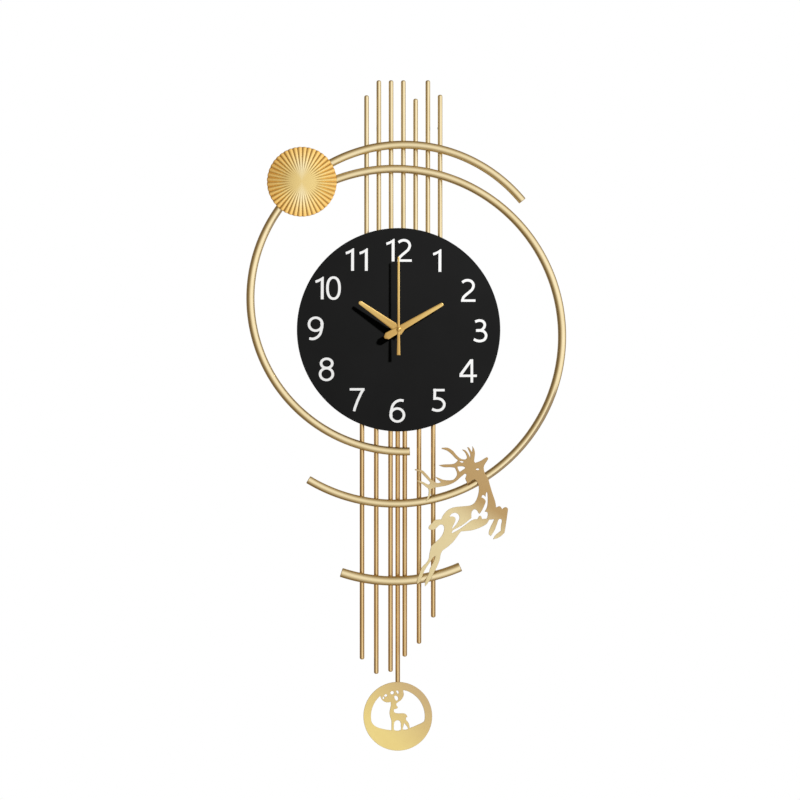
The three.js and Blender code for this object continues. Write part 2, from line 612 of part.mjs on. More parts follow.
function addCase() {
  const half = CASE_WIDTH / 2;
  const outerX = [-half, half];
  const innerX = [-half + CASE_WALL, half - CASE_WALL];
  const outerZ = [CASE_FOOT, CASE_TOP];
  const innerZ = [CASE_FOOT + CASE_WALL, CASE_TOP - CASE_WALL];
  const frontSplit = CASE_SPLIT - GAP / 2;
  const backSplit = CASE_SPLIT + GAP / 2;
  const frontShell = cut(
    join(
      cut(
        box(outerX, [CASE_FRONT, frontSplit], outerZ),
        box(innerX, [CASE_FRONT + CASE_WALL, frontSplit + 1], innerZ),
      ),
      disc(BUSHING.outer, BUSHING.front, CASE_FRONT + 0.5),
    ),
    disc(BUSHING.bore, BUSHING.front - 1, CASE_FRONT + CASE_WALL + 1),
  );
  add('movement_front_case', frontShell, 'grey_plastic');

  const [knobX, knobZ] = MINUTE_WHEEL;
  const slotHalf = 8;
  const backShell = cut(
    box(outerX, [backSplit, CASE_BACK], outerZ),
    box(innerX, [backSplit - 1, CASE_BACK - CASE_WALL], innerZ),
    box([-25.4, 25.4], [CASE_BACK - CASE_WALL - 1, CASE_BACK + 1], [-26.8, -12.2]),
    disc(1.3, CASE_BACK - CASE_WALL - 1, CASE_BACK + 1, knobX, knobZ, 16),
    box([PENDULUM_X - slotHalf, PENDULUM_X + slotHalf], [-9.8, -6], [CASE_FOOT - 1, CASE_FOOT + 2]),
  );
  add('movement_back_case', backShell, 'grey_plastic');
}

function addElectrics() {
  add('circuit_board', box([-26.2, -16.5], [-9.6, -8.4], [-9, 26]), 'board_green');
  const coilZ = 22.6;
  const coil = new THREE.LatheGeometry([
    [0, -10], [3.1, -10], [3.1, -9.2], [2.7, -9.2], [2.7, 15.2], [3.1, 15.2], [3.1, 16], [0, 16],
  ].map(([r, x]) => new THREE.Vector2(r, x)), 16).rotateZ(-Math.PI / 2);
  add('stepper_coil', coil.translate(0, -9.4, coilZ), 'copper');
  const yoke = new THREE.Shape();
  yoke.moveTo(-14, 11.2);
  yoke.lineTo(20, 11.2);
  yoke.lineTo(20, 25.6);
  yoke.lineTo(16.4, 25.6);
  yoke.lineTo(16.4, 19);
  yoke.lineTo(-10.4, 19);
  yoke.lineTo(-10.4, 25.6);
  yoke.lineTo(-14, 25.6);
  yoke.closePath();
  yoke.holes.push(new THREE.Path().absarc(...ROTOR, 3.4, 0, 2 * Math.PI));
  add('stator', plate(yoke, -9.9, -8.9), 'steel');

  const cellZ = -19.6;
  const cell = new THREE.LatheGeometry([
    [0, -25.1], [7, -25.1], [7.1, -24.6], [7.1, 23.6], [6.7, 24], [2.7, 24], [2.7, 25.3], [0, 25.3],
  ].map(([r, x]) => new THREE.Vector2(r, x)), 24).rotateZ(-Math.PI / 2);
  add('battery', cell.translate(0, -11.9, cellZ), 'battery_wrap');
  const plusContact = box([25.7, 26.3], [-16.4, -7.4], [cellZ - 5, cellZ + 5]);
  add('battery_contact_plus', plusContact, 'steel');
  const spring = new THREE.ConeGeometry(3.6, 0.8, 12).rotateZ(-Math.PI / 2).translate(-25.85, -11.9, cellZ);
  const minusContact = join(box([-26.5, -26.1], [-16.4, -7.4], [cellZ - 5, cellZ + 5]), spring);
  add('battery_contact_minus', minusContact, 'steel');
}

// ---------------------------------------------------------------- pendulum

function addPendulumDrive() {
  const magnetZ = PIVOT_Z - 24;
  const pegZ = -86;
  add('drive_coil', ring(7.5, 2.5, -18.8, -12.9, PENDULUM_X, magnetZ), 'copper');
  add('drive_magnet', disc(4, -12.3, -8.5, PENDULUM_X, magnetZ), 'steel');
  add('pivot_pin', disc(1.4, -18.9, -6.1, PENDULUM_X, PIVOT_Z, 16), 'steel');

  const armFront = -8.2;
  const armBack = -6.8;
  const strip = new THREE.Shape([[-2.5, pegZ - 4], [2.5, pegZ - 4], [2.5, PIVOT_Z], [-2.5, PIVOT_Z]]
    .map(([x, z]) => new THREE.Vector2(PENDULUM_X + x, z)));
  const arm = cut(
    join(
      plate(strip, armFront, armBack),
      disc(4.2, armFront, armBack, PENDULUM_X, PIVOT_Z),
      disc(1.2, armBack - 0.4, -4.4, PENDULUM_X, pegZ, 12),
    ),
    disc(1.8, armFront - 1, armBack + 1, PENDULUM_X, PIVOT_Z, 16),
  );
  add('swing_arm', arm, 'steel');

  const tongueFront = -6.3;
  const tongueBack = -5.1;
  const tongue = cut(
    box([PENDULUM_X - 3.4, PENDULUM_X + 3.4], [tongueFront, tongueBack], [-102, -81.5]),
    disc(1.55, tongueFront - 1, tongueBack + 1, PENDULUM_X, pegZ, 12),
  );
  const collar = uprightBar(ROD_RADIUS, PENDULUM_ROD_TOP + GAP, -99, PENDULUM_X, PENDULUM_Y);
  add('pendulum_hook', join(tongue, collar), 'brass');
}

// The window in the bob: a round opening closed below by a shallow crescent, with soft corners.
function bobWindow() {
  const window = new THREE.Shape();
  const rad = THREE.MathUtils.degToRad;
  window.absarc(0.1, 0, 39.8, rad(-9), rad(191));
  window.quadraticCurveTo(-37, -13.4, -30, -16.4);
  window.absarc(-5, 55.5, 76.2, rad(-109.2), rad(-62.6));
  window.quadraticCurveTo(38.5, -9, 39.4, -6.2);
  return window;
}

const BOB_FIGURE = [
  [[-9.6, -23.1], [-9.5, -12.8], [-9.6, -6.3], [-11.4, -0.4], [-12.3, 5.5], [-11.1, 12.3],
    [-10.2, 17], [-10.6, 19.6]],
  [[-10.6, 19.6], [-9.9, 21.2], [-12.9, 20.7], [-17, 20.7], [-21.4, 22.6], [-24.1, 25.7],
    [-26.4, 31.4]],
  [[-26.4, 31.4], [-10.2, 43.2], [9, 41.7]],
  [[9, 41.7], [8.1, 37], [9, 33], [7.8, 28.5], [4.8, 24], [0.7, 21.1], [-2.2, 18.7]],
  [[-2.2, 18.7], [-1.9, 15.8], [0, 13.7], [-1.1, 11.5], [-5.2, 10.5]],
  [[-5.2, 10.5], [-5.8, 7.5], [-3.7, 5], [2.2, 4.3], [9, 4.3], [12.5, 2.5], [14.3, -1]],
  [[14.3, -1], [12.4, -1.8], [12.2, -5.1], [15.4, -9], [17.1, -13.4], [18.1, -21.7]],
  [[18.1, -21.7], [-9.6, -23.1]],
];
const BOB_OPENINGS = [
  [[-11.2, 35], [-8.7, 37.5], [-5.8, 35.8], [-7, 32.9], [-9.9, 32.6]],
  [[-2.5, 37], [-0.8, 38.5], [1.4, 35.5], [0.1, 33.2]],
  [[-5.5, 29.1], [-3.1, 30.8], [0.1, 28.2], [0.4, 24.9], [-1.9, 22.9], [-4, 25.2]],
  [[-20.5, 30.2], [-18.2, 32.9], [-15.5, 31.1], [-17.6, 28.8]],
  [[-22.6, 26.7], [-21.7, 29.4], [-19.9, 27.6], [-20.7, 25.2]],
  [[-5.2, -9], [-2.5, -6.3], [1.6, -6.3], [4.1, -9.3], [4.5, -14.9], [4, -20.5], [-4.9, -20.8],
    [-5.8, -14.9]],
  [[9.6, -10.2], [12.5, -13.7], [15.2, -18.7], [7.8, -19.6], [8.4, -14.6]],
];

function addPendulum() {
  const rodFoot = BOB.z + BOB.radius - 9;
  const rod = uprightBar(ROD_RADIUS, rodFoot, PENDULUM_ROD_TOP, PENDULUM_X, PENDULUM_Y);
  add('pendulum_rod', rod, 'satin_gold');

  const { front, back, radius } = BOB;
  const through = (shape, segments) => plate(shape, front - 1, back + 1, segments);
  const openRing = cut(disc(radius, front, back, 0, 0, 60), through(bobWindow(), 16));
  const withFigure = join(openRing, plate(outline(BOB_FIGURE), front, back, 2));
  const openings = BOB_OPENINGS.map((points) => through(loop(points), 2));
  add('pendulum_bob', cut(withFigure, ...openings).translate(BOB.x, 0, BOB.z), 'matte_gold');
}

addRods();
addTubes();
addMedallion();
addDeer();
addBackPlate();
addHanger();
addWallPads();
addDial();
addNutAndWasher();
addHands();
addGearTrain();
addCase();
addElectrics();
addPendulumDrive();
addPendulum();

export default clock;
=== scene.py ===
"""Pendulum wall clock: the fine surface and the finishes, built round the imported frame.

Metres, +Z up, the dial faces -Y. Every place and size comes from the frame's own nodes.
"""

import math

import bmesh
import bpy
import numpy as np
from mathutils import Matrix, Vector
from mathutils.geometry import delaunay_2d_cdt


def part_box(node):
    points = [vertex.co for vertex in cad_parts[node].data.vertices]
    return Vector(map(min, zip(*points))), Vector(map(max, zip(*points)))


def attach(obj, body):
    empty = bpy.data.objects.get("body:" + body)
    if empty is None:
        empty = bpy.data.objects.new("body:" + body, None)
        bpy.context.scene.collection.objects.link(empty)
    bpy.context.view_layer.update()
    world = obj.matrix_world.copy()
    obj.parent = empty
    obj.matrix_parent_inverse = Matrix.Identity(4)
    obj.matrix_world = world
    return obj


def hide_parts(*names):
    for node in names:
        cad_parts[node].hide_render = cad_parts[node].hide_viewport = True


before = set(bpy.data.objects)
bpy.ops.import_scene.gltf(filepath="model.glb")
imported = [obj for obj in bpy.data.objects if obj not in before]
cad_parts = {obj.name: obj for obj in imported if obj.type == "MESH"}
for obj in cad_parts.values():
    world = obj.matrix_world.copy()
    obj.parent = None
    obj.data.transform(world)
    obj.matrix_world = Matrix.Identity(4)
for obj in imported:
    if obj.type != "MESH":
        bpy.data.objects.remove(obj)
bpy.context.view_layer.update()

MM = 0.001

CAMERA_LENS = 100
CAMERA_DISTANCE = 3.276
CAMERA_BELOW_DIAL = 0.1036
CAMERA_RIGHT_OF_DIAL = 0.0021
FLOOR_BELOW_NAIL = 1.4
FLOOR_HALF = 2.2
SOFT_FILL = 0.03
STUDIO_STRENGTH = 1.1
REAR_GLOW_CORE = math.radians(20)
REAR_GLOW_WIDE = math.radians(55)
REAR_TONE = (0.80, 0.77, 0.71)
CARD_SIDE = 0.5
CARD_REACH = 0.55
CARD_TOP = 0.17
CARD_FOOT = 0.95
CARD_TONE = (0.40, 0.34, 0.29)

BAR_SIDES = 40
ROD_END_ROUND = 2.7 * MM
TUBE_END_ROUND = 1 * MM
TUBE_STEP = math.radians(1.2)
CORNER_TURN = math.radians(27)
SHARP_TURN = math.radians(48)


# ---------------------------------------------------------------- places taken from the frame

def middle_of(node):
    low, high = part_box(node)
    return (low + high) / 2


def front_of(node):
    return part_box(node)[0].y


def back_of(node):
    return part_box(node)[1].y


def half_width_of(node):
    low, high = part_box(node)
    return (high.x - low.x) / 2


# ---------------------------------------------------------------- mesh helpers

def mesh_of(name, points, faces):
    mesh = bpy.data.meshes.new(name)
    mesh.from_pydata([tuple(point) for point in points], [], faces)
    mesh.validate()
    return mesh


def piece_of(name, mesh, material, body, nodes=(), flat_faces=True):
    """Links a finished mesh as a piece that rides a body and stands for CAD nodes."""
    for polygon in mesh.polygons:
        polygon.use_smooth = True
    mesh.set_sharp_from_angle(angle=SHARP_TURN)
    mesh.materials.append(material)
    piece = bpy.data.objects.new(name, mesh)
    bpy.context.scene.collection.objects.link(piece)
    if flat_faces:
        weighted = piece.modifiers.new("flat_faces", "WEIGHTED_NORMAL")
        weighted.keep_sharp = True
    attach(piece, body)
    if nodes:
        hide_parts(*nodes)
    return piece


def joined(name, meshes):
    """One mesh from several, keeping their attributes."""
    whole = bmesh.new()
    for mesh in meshes:
        whole.from_mesh(mesh)
    out = bpy.data.meshes.new(name)
    whole.to_mesh(out)
    whole.free()
    return out


def outward(mesh):
    """Turns the faces of a closed mesh outward and merges vertices that coincide."""
    work = bmesh.new()
    work.from_mesh(mesh)
    bmesh.ops.remove_doubles(work, verts=work.verts, dist=2e-6)
    bmesh.ops.recalc_face_normals(work, faces=work.faces)
    work.to_mesh(mesh)
    work.free()
    return mesh


def with_grain(mesh, vectors):
    """Stores a point attribute that the brushed and drawn finishes read."""
    grain = mesh.attributes.new("grain", "FLOAT_VECTOR", "POINT")
    grain.data.foreach_set("vector", np.array(vectors, np.float32).ravel())
    return mesh


def evaluated(piece):
    """The piece's mesh with its modifiers applied; the piece itself is removed."""
    graph = bpy.context.evaluated_depsgraph_get()
    mesh = bpy.data.meshes.new_from_object(piece.evaluated_get(graph))
    bpy.data.objects.remove(piece)
    return mesh


def loose_piece(name, mesh):
    piece = bpy.data.objects.new(name, mesh)
    bpy.context.scene.collection.objects.link(piece)
    return piece


def cut_by(mesh, tools):
    """Exact Boolean difference of closed meshes."""
    body = loose_piece("cut_body", mesh)
    cutters = [loose_piece("cutter", tool) for tool in tools]
    for cutter in cutters:
        step = body.modifiers.new("cut", "BOOLEAN")
        step.operation = "DIFFERENCE"
        step.solver = "EXACT"
        step.object = cutter
    result = evaluated(body)
    for cutter in cutters:
        bpy.data.objects.remove(cutter)
    return result


def bevelled(mesh, width, segments=2, angle=30):
    body = loose_piece("bevel_body", mesh)
    step = body.modifiers.new("bevel", "BEVEL")
    step.width = width
    step.segments = segments
    step.limit_method = "ANGLE"
    step.angle_limit = math.radians(angle)
    step.harden_normals = False
    return evaluated(body)


# ---------------------------------------------------------------- curves in a plane

def rounded(points, radius, steps=4, ring=False):
    """The same polyline with each inner corner turned on an arc."""
    count = len(points)
    out = []
    for i, here in enumerate(points):
        if not ring and i in (0, count - 1):
            out.append(tuple(here))
            continue
        here = Vector(here)
        before = Vector(points[i - 1]) - here
        after = Vector(points[(i + 1) % count]) - here
        angle = before.angle(after)
        if angle > math.radians(178):
            out.append(tuple(here))
            continue
        reach = min(radius / math.tan(angle / 2), before.length * 0.49, after.length * 0.49)
        turn = reach * math.tan(angle / 2)
        middle = here + (before.normalized() + after.normalized()).normalized() * turn / math.sin(angle / 2)
        start = here + before.normalized() * reach - middle
        end = here + after.normalized() * reach - middle
        sweep = start.angle(end)
        for k in range(steps + 1):
            share = k / steps
            if sweep < 1e-6:
                arm = start
            else:
                a = math.sin((1 - share) * sweep) / math.sin(sweep)
                b = math.sin(share * sweep) / math.sin(sweep)
                arm = start * a + end * b
            out.append(tuple(middle + arm))
    return out


def flowing(points, steps, ring=False, corner=CORNER_TURN):
    """A smooth line through the points that keeps the real corners."""
    line = [Vector(point) for point in points]
    count = len(line)

    def direction(i):
        if not ring and i in (0, count - 1):
            return None
        before = line[i] - line[i - 1]
        after = line[(i + 1) % count] - line[i]
        if before.angle(after) > corner:
            return None
        blend = before / before.length * after.length + after / after.length * before.length
        return blend / (before.length + after.length)

    directions = [direction(i) for i in range(count)]
    out = []
    for i in range(count if ring else count - 1):
        start = line[i]
        end = line[(i + 1) % count]
        chord = end - start
        span = chord.length
        leave = directions[i] or chord / span
        arrive = directions[(i + 1) % count] or chord / span
        parts = max(1, min(steps, round(span / (0.35 * MM)))) if span < 8 * MM else 1
        for k in range(parts):
            t = k / parts
            out.append(start * (2 * t**3 - 3 * t**2 + 1) + leave * span * (t**3 - 2 * t**2 + t)
                       + end * (3 * t**2 - 2 * t**3) + arrive * span * (t**3 - t**2))
    if not ring:
        out.append(line[-1])
    return [tuple(point) for point in out]


def face_loops(node, place, axis=1):
    """The closed outlines of a CAD node's flat face on a plane across an axis, in the other two axes."""
    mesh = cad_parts[node].data
    first, second = (k for k in range(3) if k != axis)
    key_of = {v.index: (round(v.co[first], 6), round(v.co[second], 6)) for v in mesh.vertices}
    used = {}
    for polygon in mesh.polygons:
        corners = [mesh.vertices[i].co for i in polygon.vertices]
        if any(abs(corner[axis] - place) > 5e-6 for corner in corners):
            continue
        keys = [key_of[i] for i in polygon.vertices]
        for a, b in zip(keys, keys[1:] + keys[:1]):
            if (b, a) in used:
                del used[(b, a)]
            else:
                used[(a, b)] = True
    follow = {}
    for a, b in used:
        follow.setdefault(a, []).append(b)
    loops = []
    while follow:
        start = next(iter(follow))
        loop = [start]
        here = follow[start].pop()
        while here != start:
            loop.append(here)
            here = follow[here].pop()
        follow = {key: value for key, value in follow.items() if value}
        loops.append(loop)
    return loops


def without_straight_points(loop):
    """Drops points that lie on a straight run, so that only real vertices of the outline stay."""
    kept = []
    for i, here in enumerate(loop):
        before = Vector(here) - Vector(loop[i - 1])
        after = Vector(loop[(i + 1) % len(loop)]) - Vector(here)
        if before.length < 2e-5:
            continue
        if before.angle(after) > math.radians(0.4):
            kept.append(here)
    return kept


def slab(name, loops, low, high, edge=0.0, edge_steps=2):
    """Closed outlines in x and y, filled and raised between two heights, with softened edges."""
    curve = bpy.data.curves.new(name, "CURVE")
    curve.dimensions = "2D"
    curve.fill_mode = "BOTH"
    curve.extrude = (high - low) / 2 - edge
    curve.bevel_depth = edge
    curve.bevel_resolution = edge_steps
    curve.offset = -edge
    for loop in loops:
        spline = curve.splines.new("POLY")
        spline.points.add(len(loop) - 1)
        for place, (x, z) in zip(spline.points, loop):
            place.co = (x, z, 0, 1)
        spline.use_cyclic_u = True
    mesh = evaluated(loose_piece(name, curve))
    mesh.transform(Matrix.Translation((0, 0, (low + high) / 2)))
    mesh.materials.clear()
    return outward(mesh)


def plate(name, loops, front, back, edge=0.0, edge_steps=2):
    """A flat plate with softened edges, from closed outlines in x and z."""
    mesh = slab(name, loops, -back, -front, edge, edge_steps)
    mesh.transform(Matrix.Rotation(math.radians(90), 4, "X"))
    return mesh


# ---------------------------------------------------------------- turned and swept shapes

def grid_faces(rows, columns):
    """Quads between rows of a closed ring of columns."""
    faces = []
    for row in range(rows - 1):
        for column in range(columns):
            a = row * columns + column
            b = row * columns + (column + 1) % columns
            faces.append((a, b, b + columns, a + columns))
    return faces


def swept(name, stations, sides=BAR_SIDES):
    """A bar through stations of (centre, across, over, radius, along), closed at both ends."""
    points = []
    grain = []
    for centre, across, over, radius, along in stations:
        for k in range(sides):
            angle = 2 * math.pi * k / sides
            points.append(centre + (across * math.cos(angle) + over * math.sin(angle)) * radius)
            grain.append((radius * math.cos(angle), radius * math.sin(angle), along))
    faces = grid_faces(len(stations), sides)
    for end, row in ((stations[0], 0), (stations[-1], len(stations) - 1)):
        points.append(end[0].copy())
        grain.append((0, 0, end[4]))
        tip = len(points) - 1
        ring = [row * sides + k for k in range(sides)]
        faces.extend((ring[k], ring[(k + 1) % sides], tip) for k in range(sides))
    mesh = with_grain(mesh_of(name, points, faces), grain)
    return outward(mesh)


def end_rounding(radius, edge, steps=4):
    """(set back from the end, radius) pairs from the end face out to the full radius."""
    return [
        (edge * (1 - math.sin(a)), radius - edge * (1 - math.cos(a)))
        for a in (math.pi / 2 * (1 - k / steps) for k in range(steps + 1))
    ]


AXES = {
    "X": (Vector((1, 0, 0)), Vector((0, 1, 0)), Vector((0, 0, 1))),
    "Y": (Vector((0, 1, 0)), Vector((0, 0, 1)), Vector((1, 0, 0))),
    "Z": (Vector((0, 0, 1)), Vector((1, 0, 0)), Vector((0, 1, 0))),
}


def turned(name, profile, centre, axis="Y", sides=BAR_SIDES, bored=False):
    """A profile of (radius, place along the axis) turned about an axis through centre."""
    along, across, over = AXES[axis]
    centre = centre - along * centre.dot(along)
    points = []
    grain = []
    for radius, place in profile:
        for k in range(sides):
            angle = 2 * math.pi * k / sides
            reach = across * math.cos(angle) + over * math.sin(angle)
            points.append(centre + along * place + reach * radius)
            grain.append((radius, place, angle * 0.2 * MM))
    rows = len(profile)
    faces = grid_faces(rows, sides)
    if bored:
        last = (rows - 1) * sides
        faces.extend(
            (last + k, last + (k + 1) % sides, (k + 1) % sides, k) for k in range(sides)
        )
    mesh = with_grain(mesh_of(name, points, faces), grain)
    return outward(mesh)


def solid_profile(radius, low, high, edge=0.3 * MM):
    """A plain turned cylinder with rounded edges, closed on the axis."""
    return rounded([(0, low), (radius, low), (radius, high), (0, high)], edge)


def block(name, low, high, edge, segments=2):
    """A box with softened edges."""
    low = Vector(low)
    high = Vector(high)
    work = bmesh.new()
    bmesh.ops.create_cube(work, size=1)
    for vertex in work.verts:
        vertex.co = Vector((c + 0.5) * (h - l) + l for c, l, h in zip(vertex.co, low, high))
    if edge:
        bmesh.ops.bevel(work, geom=work.edges[:], offset=edge, segments=segments,
                        profile=0.5, affect="EDGES")
    mesh = bpy.data.meshes.new(name)
    work.to_mesh(mesh)
    work.free()
    return mesh


# ---------------------------------------------------------------- finishes

class Finish:
    """A Principled material with small helpers for the nodes that vary it."""

    def __init__(self, name, **sockets):
        self.material = bpy.data.materials.new(name)
        self.material.use_nodes = True
        self.tree = self.material.node_tree
        self.shader = self.tree.nodes["Principled BSDF"]
        for socket, value in sockets.items():
            self.shader.inputs[socket.replace("_", " ")].default_value = value

    def node(self, kind, **settings):
        made = self.tree.nodes.new(kind)
        for key, value in settings.items():
            setattr(made, key, value)
        return made

    def link(self, output, target):
        self.tree.links.new(output, target)

    def place(self, stretch=(1, 1, 1)):
        """Object coordinates in metres, stretched."""
        source = self.node("ShaderNodeTexCoord").outputs["Object"]
        return self.mapped(source, stretch)

    def grain(self, stretch=(1, 1, 1)):
        """The grain attribute of the mesh, stretched."""
        source = self.node("ShaderNodeAttribute", attribute_name="grain").outputs["Vector"]
        return self.mapped(source, stretch)

    def mapped(self, source, stretch):
        mapping = self.node("ShaderNodeMapping")
        mapping.inputs["Scale"].default_value = stretch
        self.link(source, mapping.inputs["Vector"])
        return mapping.outputs["Vector"]

    def noise(self, vector, scale, detail=3.0, rough=0.55):
        made = self.node("ShaderNodeTexNoise")
        made.inputs["Scale"].default_value = scale
        made.inputs["Detail"].default_value = detail
        made.inputs["Roughness"].default_value = rough
        self.link(vector, made.inputs["Vector"])
        return made.outputs["Fac"]

    def between(self, factor, low, high, start=0.3, stop=0.7):
        """Maps a 0 to 1 value onto low to high."""
        made = self.node("ShaderNodeMapRange")
        made.inputs["From Min"].default_value = start
        made.inputs["From Max"].default_value = stop
        made.inputs["To Min"].default_value = low
        made.inputs["To Max"].default_value = high
        self.link(factor, made.inputs["Value"])
        return made.outputs["Result"]

    def ramp(self, factor, stops):
        made = self.node("ShaderNodeValToRGB")
        band = made.color_ramp
        while len(band.elements) < len(stops):
            band.elements.new(0.5)
        for element, (position, colour) in zip(band.elements, stops):
            element.position = position
            element.color = (*colour, 1)
        self.link(factor, made.inputs["Fac"])
        return made.outputs["Color"]

    def blend(self, factor, first, second, mode="MIX"):
        """Mixes two colours; either may be a socket or a colour."""
        made = self.node("ShaderNodeMix", data_type="RGBA", blend_type=mode)
        for source, target in ((factor, made.inputs[0]), (first, made.inputs[6]), (second, made.inputs[7])):
            if isinstance(source, bpy.types.NodeSocket):
                self.link(source, target)
            elif isinstance(source, tuple):
                target.default_value = (*source, 1)
            else:
                target.default_value = source
        return made.outputs[2]

    def sum(self, first, second, share=1.0):
        made = self.node("ShaderNodeMath", operation="MULTIPLY_ADD")
        made.inputs[1].default_value = share
        self.link(second, made.inputs[0])
        self.link(first, made.inputs[2])
        return made.outputs[0]

    def colour(self, source):
        self.link(source, self.shader.inputs["Base Color"])

    def roughness(self, source):
        self.link(source, self.shader.inputs["Roughness"])

    def bump(self, height, depth, strength=1.0):
        made = self.node("ShaderNodeBump")
        made.inputs["Strength"].default_value = strength
        made.inputs["Distance"].default_value = depth
        self.link(height, made.inputs["Height"])
        self.link(made.outputs["Normal"], self.shader.inputs["Normal"])


def linear(red, green, blue):
    """An sRGB colour, 0 to 255, as linear light."""
    return tuple(
        c / 12.92 if c <= 0.04045 else ((c + 0.055) / 1.055) ** 2.4
        for c in (red / 255, green / 255, blue / 255)
    )


def drawn_gold(name, deep, middle, pale, rim=(1.0, 1.0, 1.0, 1.0)):
    """Plated rod and tube: satin, with faint drawing lines along the bar and a tint at grazing angles."""
    finish = Finish(name, Metallic=1.0, Specular_Tint=rim)
    broad = finish.noise(finish.place(), 14, 3)
    lines = finish.noise(finish.grain((1, 1, 0.012)), 1500, 3, 0.6)
    tone = finish.ramp(broad, [(0.3, deep), (0.5, middle), (0.7, pale)])
    streaks = finish.ramp(lines, [(0.25, linear(214, 180, 122)), (0.6, linear(255, 255, 255))])
    finish.colour(finish.blend(0.08, tone, streaks, "MULTIPLY"))
    finish.roughness(finish.between(finish.sum(broad, lines, 0.5), 0.15, 0.22, 0.5, 1.0))
    finish.bump(lines, 0.002 * MM, 0.15)
    return finish.material


def blasted_gold(name, metal, start, end, shaded_colour, lit_colour, turn):
    """Laser-cut sheet with a fine matte gold coat and painted shade: its colour runs from a shaded colour at the start
    to a lit colour at the end.
    """
    finish = Finish(name, Metallic=metal, Coat_Weight=0.05, Coat_Roughness=0.3, Specular_IOR_Level=0.3)
    broad = finish.noise(finish.place(), 22, 4)
    fine = finish.noise(finish.place(), 2600, 3, 0.7)
    wave = finish.noise(finish.place(), 9, 2)
    way = end - start
    along = finish.node("ShaderNodeVectorMath", operation="DOT_PRODUCT")
    along.inputs[1].default_value = way.normalized()
    finish.link(finish.place(), along.inputs[0])
    first = start.dot(way.normalized())
    share = finish.between(along.outputs["Value"], 0, 1, first, first + way.length)
    # Painted shade: the colour runs from the shaded colour to the lit colour along the line from start to end
    tone = finish.ramp(share, [(turn[0], shaded_colour), (turn[1], lit_colour)])
    speck = finish.ramp(fine, [(0.3, linear(205, 180, 130)), (0.6, linear(255, 255, 255))])
    varied = finish.blend(0.15, tone, speck, "MULTIPLY")
    cloud = finish.ramp(broad, [(0.3, linear(222, 205, 170)), (0.65, linear(255, 255, 255))])
    finish.colour(finish.blend(0.2, varied, cloud, "MULTIPLY"))
    finish.roughness(finish.between(finish.sum(fine, broad, 0.6), 0.27, 0.39, 0.5, 1.1))
    finish.bump(finish.sum(fine, wave, 30), 0.02 * MM, 0.6)
    return finish.material


def leaf_gold():
    """Bright pressed sheet, brushed in its middle and deeper in tone towards the rim, with a painted highlight: a pale
    sheen in an upright band above and below the middle.
    """
    finish = Finish("bright_gold", Metallic=1.0)
    split = finish.node("ShaderNodeSeparateXYZ")
    finish.link(finish.grain(), split.inputs[0])
    outer = half_width_of("medallion")
    share = finish.between(split.outputs["X"], 0, 1, 0, outer)
    tone = finish.ramp(share, [(0.0, linear(246, 222, 156)), (0.35, linear(243, 218, 151)),
                               (0.62, linear(255, 224, 150)), (1.0, linear(252, 207, 122))])
    # Painted highlight: the glow attribute lays a pale cream sheen over the tone
    glow = finish.node("ShaderNodeAttribute", attribute_name="glow").outputs["Fac"]
    painted_sheen = finish.blend(glow, tone, linear(255, 240, 196))
    lines = finish.noise(finish.grain((1, 0.2, 0.02)), 1800, 3, 0.6)
    worn = finish.ramp(lines, [(0.3, linear(232, 214, 176)), (0.65, linear(255, 255, 255))])
    finish.colour(finish.blend(0.12, painted_sheen, worn, "MULTIPLY"))
    finish.roughness(finish.between(lines, 0.28, 0.34))
    finish.bump(lines, 0.003 * MM, 0.3)
    return finish.material


def hand_gold():
    """Thin brushed sheet; the lines run along the hand."""
    finish = Finish("hand_gold", Metallic=1.0, Coat_Weight=0.05, Coat_Roughness=0.2)
    lines = finish.noise(finish.grain((1, 1, 0.02)), 2400, 3, 0.65)
    broad = finish.noise(finish.place(), 45, 2)
    split = finish.node("ShaderNodeSeparateXYZ")
    finish.link(finish.grain(), split.inputs[0])
    along = finish.between(split.outputs["Z"], 0, 1, 0.01, 0.08)
    tone = finish.ramp(along, [(0.0, linear(212, 176, 108)), (1.0, linear(238, 208, 136))])
    cloud = finish.ramp(finish.sum(lines, broad, 0.6), [(0.5, linear(222, 205, 175)), (1.0, linear(255, 255, 255))])
    finish.colour(finish.blend(0.35, tone, cloud, "MULTIPLY"))
    finish.roughness(finish.between(lines, 0.24, 0.36))
    finish.bump(lines, 0.015 * MM, 0.4)
    return finish.material


def dial_black():
    """Matte black lacquered sheet with a very fine orange peel."""
    finish = Finish("dial_black", Specular_IOR_Level=0.01)
    peel = finish.noise(finish.place(), 420, 3)
    broad = finish.noise(finish.place(), 12, 4)
    finish.colour(finish.ramp(broad, [(0.3, linear(31, 31, 31)), (0.7, linear(34, 34, 34))]))
    finish.roughness(finish.between(broad, 0.5, 0.6))
    finish.bump(peel, 0.05 * MM, 0.25)
    return finish.material


def numeral_white():
    """Screen-printed ink: slightly soft surface."""
    finish = Finish("numeral_white", Specular_IOR_Level=0.3)
    grainy = finish.noise(finish.place(), 900, 3)
    finish.colour(finish.ramp(grainy, [(0.3, linear(247, 247, 246)), (0.7, linear(254, 254, 253))]))
    finish.roughness(finish.between(grainy, 0.5, 0.62))
    finish.bump(grainy, 0.02 * MM, 0.3)
    return finish.material


def plastic(name, dark, light, peel_scale=1100, low=0.42, high=0.58):
    """Moulded plastic with a spark-eroded texture."""
    finish = Finish(name, Specular_IOR_Level=0.4)
    spark = finish.noise(finish.place(), peel_scale, 4, 0.7)
    broad = finish.noise(finish.place(), 35, 3)
    finish.colour(finish.ramp(broad, [(0.3, dark), (0.7, light)]))
    finish.roughness(finish.between(spark, low, high))
    finish.bump(spark, 0.04 * MM, 0.4)
    return finish.material


